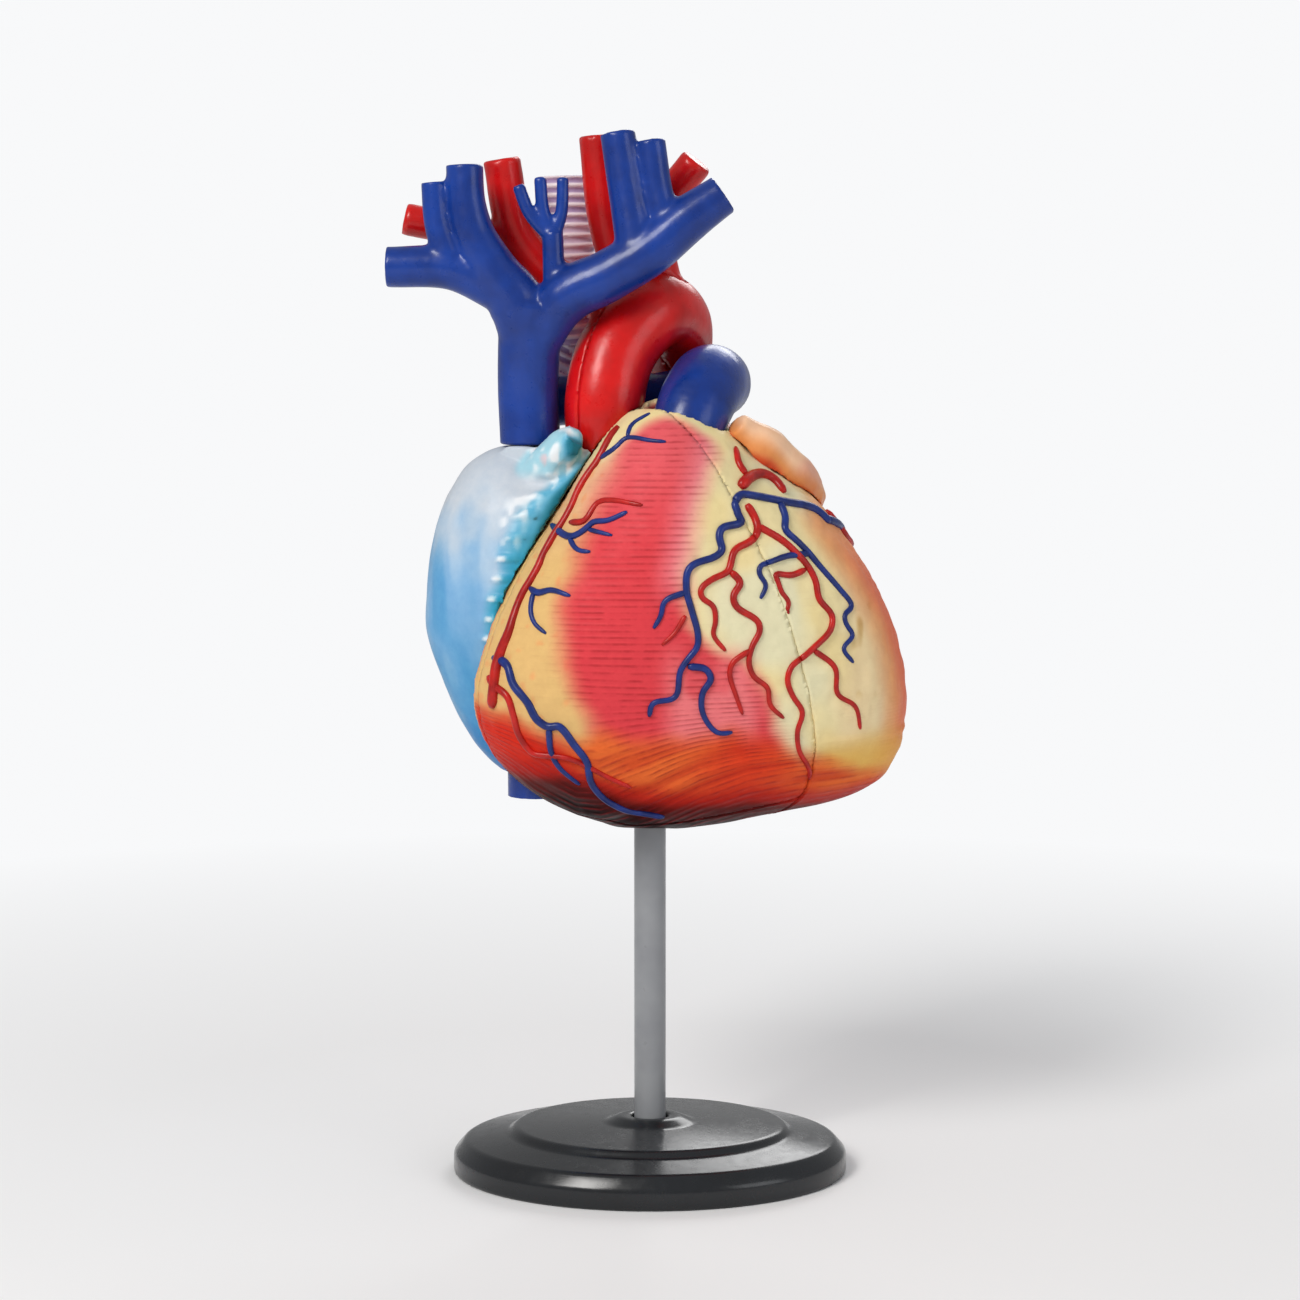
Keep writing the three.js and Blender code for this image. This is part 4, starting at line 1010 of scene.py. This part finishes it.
def lip_section(way):
    """The lip's section along one ray from its centre, as a closed run of points."""
    middle = LIP_CENTRE - GROOVE[0] * height_over(GROOVE, LIP_CENTRE)

    def reach(tree, offset):
        start = middle + GROOVE[0] * offset
        return tree.ray_cast(Vector(start), Vector(way))[3]

    width = reach(left_skin, BEHIND_PLATE) - reach(ventricle_skin, BEHIND_PLATE)
    rise = min(max(0.35 * (width - 0.8), 0), LIP_FORWARD)
    outer = []
    for offset, inset in (
            (LIP_BACK, 0.05), (BEHIND_PLATE + 0.7, 0.02), (BEHIND_PLATE, 0),
            (BEHIND_PLATE - 0.55 * rise, 0.12 * rise), (BEHIND_PLATE - 0.88 * rise, 0.45 * rise),
            (BEHIND_PLATE - rise, 1.1 * rise)):
        outer.append((reach(left_skin, offset) - 0.1 - inset, offset))
    last = outer[-1][0]
    inner = min(reach(ventricle_skin, BEHIND_PLATE - rise) + RIM_GAP, last - 0.1)
    deep = min(reach(ventricle_skin, BEHIND_PLATE) - LIP_OVERLAP, outer[2][0] - 1.5)
    inside = [
        ((last + inner) / 2, BEHIND_PLATE - 1.25 * rise), (inner, BEHIND_PLATE - rise),
        (min(reach(ventricle_skin, BEHIND_PLATE) + RIM_GAP, inner - 0.03), BEHIND_PLATE),
        (deep, BEHIND_PLATE), (deep, LIP_BACK)]
    return [middle + GROOVE[0] * offset + way * radius for radius, offset in outer + inside]


def atrium_lip():
    angles = np.radians(np.arange(-64, 107, 3))
    sections = [lip_section(math.cos(angle) * ALONG_GROOVE + math.sin(angle) * UP_GROOVE)
                for angle in angles]
    return np.concatenate(sections), tube_faces(len(sections), len(sections[0]))


def before_plate(points):
    return fall(height_over(GROOVE, points), BEHIND_PLATE + 0.1, BEHIND_PLATE + 0.5)


# Pieces

ventricle_skin = form_tree(VENTRICLES)
right_skin = form_tree(RIGHT_ATRIUM)
left_skin = form_tree(LEFT_ATRIUM)
artery_skin = smooth_union([AORTA] + HEAD_ARTERIES)
trunk_skin = outward(*tube(TRUNK, 40))
lung_artery_skin = outward(*tube(LUNG_ARTERY, 40))

# Half of the gap that the solids keep at each cut
GAP = 0.15

# Each cut is its plane, the solid's offset from it and the offset that closes the gap in looks
pieces = {}
for node, cuts in (
        ("rv_front_wall", [(GROOVE, -GAP, -0.06), (SEPTAL, 0, 0.12), (CORONAL, GAP, 0.04)]),
        ("lv_wall", [(GROOVE, -GAP, -0.06), (SEPTAL, 2 * GAP, 0.19)]),
        ("rv_back_wall", [(GROOVE, -GAP, -0.06), (SEPTAL, 0, 0.12), (CORONAL, -GAP, -0.04)]),
        ("av_plate", [(GROOVE, GAP, 0.06)])):
    pieces[node] = sculpted(node, PAINTED, 0.32, 6, ventricle_skin, cuts, ventricle_shape,
                            ventricle_paint, reach=1.1)
for node, cuts, extra in (
        ("ra_cover", [(GROOVE, GAP, 0.06), (RIGHT_COVER, -GAP, -0.04)], [tube(AURICLE_TIP)]),
        ("ra_back", [(RIGHT_COVER, GAP, 0.04)], [])):
    pieces[node] = sculpted(node, PAINTED_SOFT, 0.32, 5, right_skin, cuts, right_atrium_shape,
                            right_atrium_paint, fillet=10, free=on_auricle_tip, extra=extra)
lip = atrium_lip()
for node, side in (("la_front", -1), ("la_back_cover", 1)):
    pieces[node] = sculpted(
        node, PAINTED_SOFT, 0.33, 5, left_skin, [(LEFT_COVER, side * GAP, side * 0.04)],
        left_atrium_shape, left_atrium_paint, free=before_plate,
        extra=[parted(lip, LEFT_COVER, side * GAP, side)])
pieces["left_auricle"] = sculpted("left_auricle", PAINTED_SOFT, 0.3, 12, None, (), auricle_shape,
                                  auricle_paint)

for node, skin, material, cuts in (
        ("aorta_front", artery_skin, ARTERY_RED, [(AORTA_SEAM, GAP, 0.04)]),
        ("aorta_back", artery_skin, ARTERY_RED, [(AORTA_SEAM, -GAP, -0.04)]),
        ("pulmonary_trunk", trunk_skin, VEIN_BLUE, []),
        ("right_pulmonary_artery", lung_artery_skin, VEIN_BLUE, [])):
    sculpted(node, material, 0.3, 5, skin, cuts, plain_shape(5, 0.06), reach=0.8)
sculpted("superior_vena_cava", VEIN_BLUE, 0.26, 4, shape=plain_shape(5, 0.06, 92), fillet=16,
         skins=[tube(line) for line in VEIN_TREE])
sculpted("trachea", PAINTED_SOFT, 0.2, 2, paint=trachea_paint,
         skins=[tube(line, 40, 90, ring_ripple) for line in AIRWAYS])

for node, material, line in (
        ("inferior_vena_cava", VEIN_BLUE, [(-14.5, 4.2, 2.5, 3.6), (-14.5, 4.2, 10, 3.6)]),
        ("pulmonary_vein_left_upper", ARTERY_RED, [(14, 19.4, 41, 2.2), (22.5, 19, 42.4, 2.2)]),
        ("pulmonary_vein_left_lower", ARTERY_RED, [(14, 19.4, 33.5, 2.2), (22.5, 19, 32.2, 2.2)]),
        ("pulmonary_vein_right_upper", ARTERY_RED,
         [(-2, 19.4, 41, 2.2), (-6.5, 20.6, 41.8, 2.2), (-11.5, 21.8, 42.5, 2.2)]),
        ("pulmonary_vein_right_lower", ARTERY_RED,
         [(-2, 19.4, 33.5, 2.2), (-6.5, 20.6, 33, 2.2), (-11.5, 21.8, 32.3, 2.2)])):
    sculpted(node, material, 0.22, 4, outward(*tube(line, 40)), (), plain_shape(4, 0.05), reach=0.8)

for node, material, voxel, rounds in (
        ("ventricular_septum", MUSCLE, 0.4, 4),
        ("atrial_septum", PEACH, 0.3, 3),
        ("tricuspid_valve", VALVE, 0.22, 3),
        ("mitral_valve", VALVE, 0.22, 3),
        ("aortic_valve", VALVE, 0.13, 2),
        ("pulmonary_valve", VALVE, 0.13, 2),
        ("rv_papillary_muscle", MUSCLE, 0.2, 3),
        ("lv_papillary_anterior", MUSCLE, 0.2, 3),
        ("lv_papillary_posterior", MUSCLE, 0.2, 3)):
    sculpted(node, material, voxel, rounds, shape=plain_shape(4, 0.07))


# Coronary vessels, each as kind, first and last radius, and points seen from the front

CORONARIES = [
    ("vein", 0.52, 0.3, [
        (22.1, 38.7), (20, 40.5), (16.1, 41.5), (12.1, 42.4), (10.8, 42.5), (10.1, 41.4), (11.1, 39.4),
        (8.5, 38.7), (8.2, 37.7), (8.6, 36.1), (7.8, 35.4), (4.7, 34.2), (4.3, 31.6), (4.9, 29.3),
        (5.7, 26.2), (5.6, 24.7), (4.5, 23.3), (3.6, 21.9), (3, 18.7), (0.3, 18), (-0.1, 16.4)]),
    ("vein", 0.36, 0.25, [(4.3, 31.3), (1.7, 30.2), (1.3, 28.5), (0.4, 27)]),
    ("vein", 0.42, 0.26, [
        (4.5, 22.4), (6.6, 22.1), (7.3, 20.8), (6.3, 19.3), (6.2, 17), (7.2, 15), (8.3, 14.1),
        (9.9, 14.2)]),
    ("vein", 0.45, 0.25, [
        (15.8, 41.4), (16.4, 39.4), (16.2, 38.4), (17.8, 36.8), (19.2, 35.4), (20.5, 33.8),
        (22.7, 31.3), (24.6, 28.7), (23.6, 27.9), (23.8, 26.7), (24.7, 25.3), (23.4, 23.9),
        (24.7, 22.1)]),
    ("vein", 0.38, 0.25, [
        (19.2, 35.3), (16.4, 35.2), (14.5, 34.6), (13.1, 34.1), (13.1, 33.1), (13.9, 31.9),
        (13.2, 30.3)]),
    ("artery", 0.48, 0.25, [
        (11.6, 41.4), (12.6, 39.7), (12.9, 38.2), (12.1, 37.1), (10.1, 36.1), (9.6, 34.5), (9.3, 33.6),
        (7.5, 32.8), (6, 31.6), (6.2, 30.5), (7.5, 29.6), (7.8, 27.6), (7.5, 26.2), (9, 24.2)]),
    ("artery", 0.42, 0.25, [
        (9.6, 33.6), (10.8, 32.2), (9.9, 30.8), (10.2, 29.5), (12.9, 27.6), (13.1, 26.4), (12.2, 24.7),
        (11.8, 22.7), (12.4, 21), (14.1, 19.6), (14.4, 17.5), (16.1, 15.8)]),
    ("artery", 0.34, 0.22, [(11.9, 24.2), (9.8, 22.7), (9.5, 21.3), (10.3, 18.7), (11.1, 16.4)]),
    ("artery", 0.44, 0.26, [
        (12.9, 38.8), (15.8, 37.1), (17.5, 35.6), (19.2, 33.6), (20, 31.9), (20.4, 29.9), (22, 27.9),
        (21.8, 26.2), (19.7, 24.2), (18.4, 23.1), (17, 22.1), (16.5, 20.4), (17.2, 18.4), (18.4, 16.4),
        (17.8, 14.1), (18.1, 11.5), (19.2, 9.5), (19.8, 7.8)]),
    ("artery", 0.34, 0.24, [(19.7, 23.9), (22.4, 21.6), (22.7, 18.4), (25, 16.7), (25.7, 13.8)]),
    ("artery", 0.38, 0.24, [
        (18.7, 33.5), (17, 32.9), (14.9, 33.1), (15.5, 31.3), (16.7, 29.6), (15.8, 28)]),
    ("artery", 0.7, 0.5, [(10.8, 43.4), (12.1, 44.5), (13.5, 44.8), (15.2, 44), (16.4, 42.5)]),
    ("artery", 0.3, 0.2, [(4.2, 28.5), (2.9, 26.4), (1.4, 25)]),
    ("artery", 0.38, 0.45, [(10.4, 48), (10.7, 46.2), (11.6, 44.8)]),
    ("artery", 0.4, 0.22, [(-9.6, 39.2), (-7.9, 39.4), (-6.2, 41.7), (-4.5, 42), (-0.9, 41.5)]),
    ("artery", 0.45, 0.25, [
        (-19.5, 20.6), (-18.9, 19.7), (-17.2, 18.6), (-16.4, 16.3), (-15.8, 13.8), (-14.1, 11.5),
        (-12.4, 11.3), (-9.6, 11), (-5.1, 8.7), (-2.3, 7.3)]),
    ("vein", 0.34, 0.22, [(-5.9, 46.8), (-4, 48.2), (-2.8, 49.3), (0.3, 49), (1.9, 48.9)]),
    ("vein", 0.3, 0.22, [(-2.7, 49.4), (-2.3, 50.7), (0, 52.2)]),
    ("vein", 0.45, 0.25, [
        (-11.9, 38.6), (-9.6, 37.5), (-7.6, 38.6), (-6.8, 39.4), (-5.1, 39.6), (-2.7, 40.7)]),
    ("vein", 0.3, 0.2, [(-7.4, 38.5), (-4.5, 37.9)]),
    ("vein", 0.34, 0.22, [(-9.7, 37.5), (-8.8, 36.1), (-7.1, 35.9)]),
    ("vein", 0.42, 0.24, [(-14.4, 31.3), (-13.5, 30.8), (-11.9, 31.3), (-9.5, 30.7)]),
    ("vein", 0.34, 0.22, [(-14, 30.8), (-14.3, 28.7), (-13.8, 27.3), (-12.4, 26.2)]),
    ("vein", 0.5, 0.34, [
        (-18.9, 22.8), (-17.2, 22.3), (-16.4, 20), (-14.7, 18), (-13.5, 15.8), (-11.9, 14.9),
        (-11, 15.2), (-9, 12.7), (-7.6, 10.7), (-7.1, 7.9), (-5.4, 5.6), (-3.1, 4.2), (1.7, 3.1)]),
    ("vein", 0.38, 0.24, [(-12.1, 14.8), (-11.9, 11.8), (-11, 9.9), (-8.5, 7.6)]),
]

# The same on the back, with its own radii and points seen from behind
REAR_CORONARIES = [
    ("vein", 0.8, 0.6, [(22, 37), (20, 29), (16, 22.5), (9, 18), (2, 15.5), (-5, 13.5)]),
    ("artery", 0.55, 0.4, [(23.2, 36), (21.6, 28), (17.4, 21), (10.5, 16.6), (5, 14.6)]),
    ("vein", 0.5, 0.28, [(3, 15.4), (6, 12), (10.5, 9.2), (15, 7), (20, 5.6)]),
    ("artery", 0.45, 0.25, [(4, 13.4), (7.5, 10.6), (12.6, 7.6), (18, 5.2)]),
    ("vein", 0.42, 0.24, [(20.2, 29.6), (23.4, 24.4), (25, 18.6), (26.4, 13.4)]),
    ("artery", 0.38, 0.22, [(18.6, 23), (21.4, 18.6), (22.4, 13.6), (24.4, 9.6)]),
]

# The same on the left side, with points [y, z] seen from the left
SIDE_CORONARIES = [
    ("vein", 0.52, 0.75, [(-3.4, 39.1), (-1, 38.5), (3, 37.6), (8, 36.9), (11.4, 36.2), (12.6, 35.4)]),
    ("artery", 0.45, 0.52, [(0.8, 39.9), (1.8, 37.4), (4.6, 35.7), (8.2, 35.1), (10.9, 35.2)]),
]


carriers = {}
for node in ("rv_front_wall", "lv_wall", "rv_back_wall", "av_plate", "ra_cover", "ra_back",
             "left_auricle", "la_back_cover"):
    mesh = pieces[node].data
    carriers[node] = BVHTree.FromPolygons([Vector(p) for p in read_points(mesh)], read_faces(mesh))

# Each view as the way that it looks and its axis across
FROM_FRONT = (Vector((0, 1, 0)), Vector((1, 0, 0)))
FROM_BACK = (Vector((0, -1, 0)), Vector((1, 0, 0)))
FROM_LEFT = (Vector((-1, 0, 0)), Vector((0, 1, 0)))
FAR_OFF = 80


def met(node, origin, way):
    """Where a ray meets a piece, with the normal that faces the ray, and how far off it is."""
    place, normal, _, distance = carriers[node].ray_cast(origin, way)
    if place is None:
        return None
    if normal.dot(way) > 0:
        normal = -normal
    return np.array(place), np.array(normal), distance


def landed(across, z, view):
    """The first surface met by a ray of the view."""
    way, axis = view
    origin = across * axis + Vector((0, 0, z)) - FAR_OFF * way
    hits = [(node, *hit) for node in carriers if (hit := met(node, origin, way))]
    return min(hits, key=lambda hit: hit[3], default=None)


def dense(points, step=0.28):
    """Points at even steps along a smooth open curve."""
    fine = through(points, 12)
    gaps = np.concatenate([[0], np.cumsum(np.linalg.norm(np.diff(fine, axis=0), axis=1))])
    places = np.linspace(0, gaps[-1], max(4, int(gaps[-1] / step)))
    return np.stack([np.interp(places, gaps, fine[:, k]) for k in range(fine.shape[1])], axis=1)


# The faces that the vessels end on where they cross the seam of the ventricles, and its middle
SEAM_FACES = {"rv_front_wall": (-1, 0.13), "lv_wall": (1, 0.18)}
SEAM_MIDDLE = 0.155

# How near the seam a vessel keeps its side, and how far off a next hit starts a new vessel
SIDE_KEPT = 0.9
JUMP = 2


def sides_of(hits):
    """The piece that carries each hit: near the seam a vessel keeps to the side it came from."""
    sides = [hit[0] for hit in hits]
    over = [height_over(SEPTAL, hit[1]) - SEAM_MIDDLE for hit in hits]
    for i in range(1, len(hits)):
        if sides[i] in SEAM_FACES and sides[i - 1] in SEAM_FACES and abs(over[i]) < SIDE_KEPT:
            sides[i] = sides[i - 1]
    for i in range(len(hits) - 1, 0, -1):
        before, after = sides[i - 1], sides[i]
        if {before, after} == set(SEAM_FACES) and over[i - 1] * SEAM_FACES[before][0] < 0:
            sides[i - 1] = after
    return sides


def runs_of(route, first, last, view):
    """Cuts a route into the runs that one piece carries, with their crossings of the seam."""
    line = dense(route)
    hits = []
    for index, (across, z) in enumerate(line):
        hit = landed(across, z, view)
        if hit:
            hits.append((*hit[:3], first + (last - first) * index / (len(line) - 1)))
    sides = sides_of(hits)
    starts = [0]
    for i in range(1, len(hits)):
        if np.linalg.norm(hits[i - 1][1] - hits[i][1]) > JUMP or sides[i] != sides[i - 1]:
            starts.append(i)
    runs = []
    for start, stop in zip(starts, starts[1:] + [len(hits)]):
        if stop - start > 2:
            joins = []
            for other in (start - 1, stop):
                crosses = (0 <= other < len(hits)
                           and {sides[other], sides[start]} == set(SEAM_FACES))
                joins.append(hits[other][1] if crosses else None)
            runs.append((sides[start], [hit[1:] for hit in hits[start:stop]], joins))
    return runs


# How long before a crossing a vessel may near the seam, and its room beside it in radii
CROSSING_EASE = 1.5
SEAM_ROOM = 1.15


def held_back(centres, radii, node, joins):
    """Keeps a vessel on its own side of the seam, except where it crosses it."""
    sign, limit = SEAM_FACES[node]
    steps = np.linalg.norm(np.diff(centres, axis=0), axis=1)
    travelled = np.concatenate([[0], np.cumsum(steps)])
    ease = np.ones(len(centres))
    for join, way in zip(joins, (travelled, travelled[-1] - travelled)):
        if join is not None:
            ease = np.minimum(ease, way / CROSSING_EASE)
    short = SEAM_ROOM * radii * ease - sign * (height_over(SEPTAL, centres) - limit)
    return centres + sign * np.clip(short, 0, None)[:, None] * SEPTAL[0]


# A vessel's lift and extra width in radii, the taper of its free ends, and its flattest crossing
LIFT = 0.25
WIDER = 1.12
TAPER = (0.55, 0.85, 1.0)
FLATTEST = 0.35


def vessel_mesh(stations, joins, node, sides=10):
    """A closed tube on a surface, tapered at its free ends and mitred where it crosses the seam."""
    radii = np.array([radius for _, _, radius in stations])
    centres = np.array([place + normal * radius * LIFT for place, normal, radius in stations])
    for _ in range(3):
        centres[1:-1] = 0.5 * centres[1:-1] + 0.25 * (centres[:-2] + centres[2:])
    if node in SEAM_FACES:
        centres = held_back(centres, radii, node, joins)
    last = len(centres) - 1
    verts = []
    for i, centre in enumerate(centres):
        along = heading(centres, i)
        out = unit(stations[i][1] - along * (stations[i][1] @ along))
        taper = 1.0
        for join, from_end in zip(joins, (i, last - i)):
            if join is None:
                taper *= TAPER[min(from_end, 2)]
        verts += ring(centre, radii[i] * taper, out, np.cross(along, out), sides, WIDER)
    verts = np.array(verts)
    if node in SEAM_FACES:
        sign, limit = SEAM_FACES[node]
        for end, join in zip((0, last), joins):
            if join is not None:
                way = unit(join - centres[end])
                slope = way @ SEPTAL[0]
                if abs(slope) < FLATTEST:
                    way, slope = SEPTAL[0], 1.0
                rim = verts[end * sides:(end + 1) * sides]
                rim += ((limit - height_over(SEPTAL, rim)) / slope)[:, None] * way
        over = sign * (height_over(SEPTAL, verts) - limit)
        verts[over < 0] -= (sign * over[over < 0])[:, None] * SEPTAL[0]
    return verts, tube_faces(last + 1, sides)


GROOVE_ARTERY_INSET = 3.6


def groove_artery():
    """The artery that follows the groove, at one distance from it."""
    across, distance = GROOVE[0], GROOVE[1] - GROOVE_ARTERY_INSET
    stations = []
    for z in np.arange(50.5, 16.8, -0.4):
        inside = np.array([0, (distance - across[2] * z) / across[1], z])
        origin = Vector(inside - ALONG_GROOVE * FAR_OFF)
        hit = met("rv_front_wall", origin, Vector(ALONG_GROOVE))
        if hit:
            wave = 0.22 * math.sin(z * 0.9) * across
            radius = 0.48 + 0.16 * ramp(np.array(30 - z), 0, 8)
            stations.append((hit[0] + wave, hit[1], float(radius)))
    return vessel_mesh(stations, (None, None), "rv_front_wall")


def coronaries():
    grouped = {("artery", "rv_front_wall"): [groove_artery()]}
    for view, table in (
            (FROM_FRONT, CORONARIES), (FROM_BACK, REAR_CORONARIES), (FROM_LEFT, SIDE_CORONARIES)):
        for kind, first, last, route in table:
            for node, stations, joins in runs_of(route, first, last, view):
                grouped.setdefault((kind, node), []).append(vessel_mesh(stations, joins, node))
    for (kind, node), vessels in grouped.items():
        verts, faces = together(vessels)
        material, slot, word = (
            (CORONARY_BLUE, "vein_blue", "veins") if kind == "vein"
            else (CORONARY_RED, "artery_red", "arteries"))
        obj = mesh_object(f"coronary_{word}_{node}", (verts + HEART) * MM, faces)
        finished(obj, BODY_OF[node], material)


coronaries()


# Stand

def turned(name, profile, ratio=1.0, sides=128):
    """A closed solid of revolution about the rod's axis, in millimetres."""
    verts, faces = [], []
    for radius, height in profile:
        for k in range(sides):
            angle = 2 * math.pi * k / sides
            verts.append((radius * math.cos(angle) * MM, radius * ratio * math.sin(angle) * MM,
                          height * MM))
    return mesh_object(name, verts, ring_faces(len(profile), sides, len(verts)))


def eased(profile, ease=0.45, steps=4):
    """The profile with its corners rounded."""
    out = []
    points = [np.array(p, float) for p in profile]
    for before, here, after in zip(points[-1:] + points, points, points[1:] + points[:1]):
        start, end = (here + (to - here) * min(0.45, ease / (np.linalg.norm(to - here) + 1e-9))
                      for to in (before, after))
        for s in np.linspace(0, 1, steps):
            out.append((1 - s) ** 2 * start + 2 * s * (1 - s) * here + s ** 2 * end)
    return out


base = turned("base_moulding", eased([
    (25, 0), (25, 2.5), (23.5, 4.2), (18, 5), (17.1, 5.9), (5.8, 6.2), (4, 7), (2.3, 7), (2.3, 1.7),
    (3.4, 1.7), (4.6, 0), (5.4, 3.2), (17.2, 3.3), (21.8, 2.5), (23.3, 1.6), (23.3, 0)], 0.5), 0.76)
finished(base, "base", BASE, ["stand_base"])
rod = turned("rod_moulding", eased([(0.01, 2), (2, 2), (2, 55), (0.01, 55)], 0.35), 1.0, 64)
finished(rod, "rod", ROD, ["stand_rod"])


# Stage: paper that fades into the white behind it

BACKGROUND = (0.94, 0.945, 0.955, 1)
FADE_FROM, FADE_TO = 0.08, 0.26
WORLD_LIGHT = 0.42


def camera_ray(tree):
    return new_node(tree, "LightPath", {}).outputs["Is Camera Ray"]


floor = mesh_object("floor", [(-4, -4, 0), (4, -4, 0), (4, 4, 0), (-4, 4, 0)], [(0, 1, 2, 3)])
paper, tree, shader = new_material("floor_paper")
fill(tree, shader, {
    "Base Color": (0.88, 0.88, 0.885, 1), "Roughness": 0.9, "Specular IOR Level": 0.1})
away = new_node(tree, "VectorMath", {0: coordinates(tree)}, "LENGTH").outputs["Value"]
seen = product(tree, ranged(tree, away, FADE_FROM, FADE_TO, 0, 1), camera_ray(tree))
glow = new_node(tree, "Emission", {"Color": BACKGROUND})
surface = new_node(tree, "MixShader", {0: seen, 1: shader.outputs[0], 2: glow.outputs[0]})
fill(tree, tree.nodes["Material Output"], {"Surface": surface.outputs[0]})
floor.data.materials.append(paper)

world = bpy.data.worlds.new("studio")
bpy.context.scene.world = world
world.use_nodes = True
tree = world.node_tree
fill(tree, tree.nodes["Background"], {
    "Color": BACKGROUND, "Strength": ranged(tree, camera_ray(tree), 0, 1, WORLD_LIGHT, 1)})


def lamp(name, place, target, size, power, colour=(1, 1, 1)):
    light = bpy.data.lights.new(name, "AREA")
    light.shape = "RECTANGLE"
    light.size, light.size_y = size
    light.energy = power
    light.color = colour
    obj = bpy.data.objects.new(name, light)
    obj.location = place
    obj.rotation_euler = (Vector(target) - Vector(place)).to_track_quat("-Z", "Y").to_euler()
    bpy.context.scene.collection.objects.link(obj)


lamp("key", (-0.30, -0.42, 0.46), (0, 0, 0.08), (0.20, 0.26), 2.65, (1, 0.98, 0.95))
lamp("fill", (0.50, -0.35, 0.24), (0, 0, 0.07), (0.30, 0.30), 0.55, (0.95, 0.97, 1))
lamp("back", (0.15, 0.50, 0.40), (0, 0, 0.09), (0.30, 0.25), 1.0)

bpy.context.scene.view_settings.view_transform = "Standard"
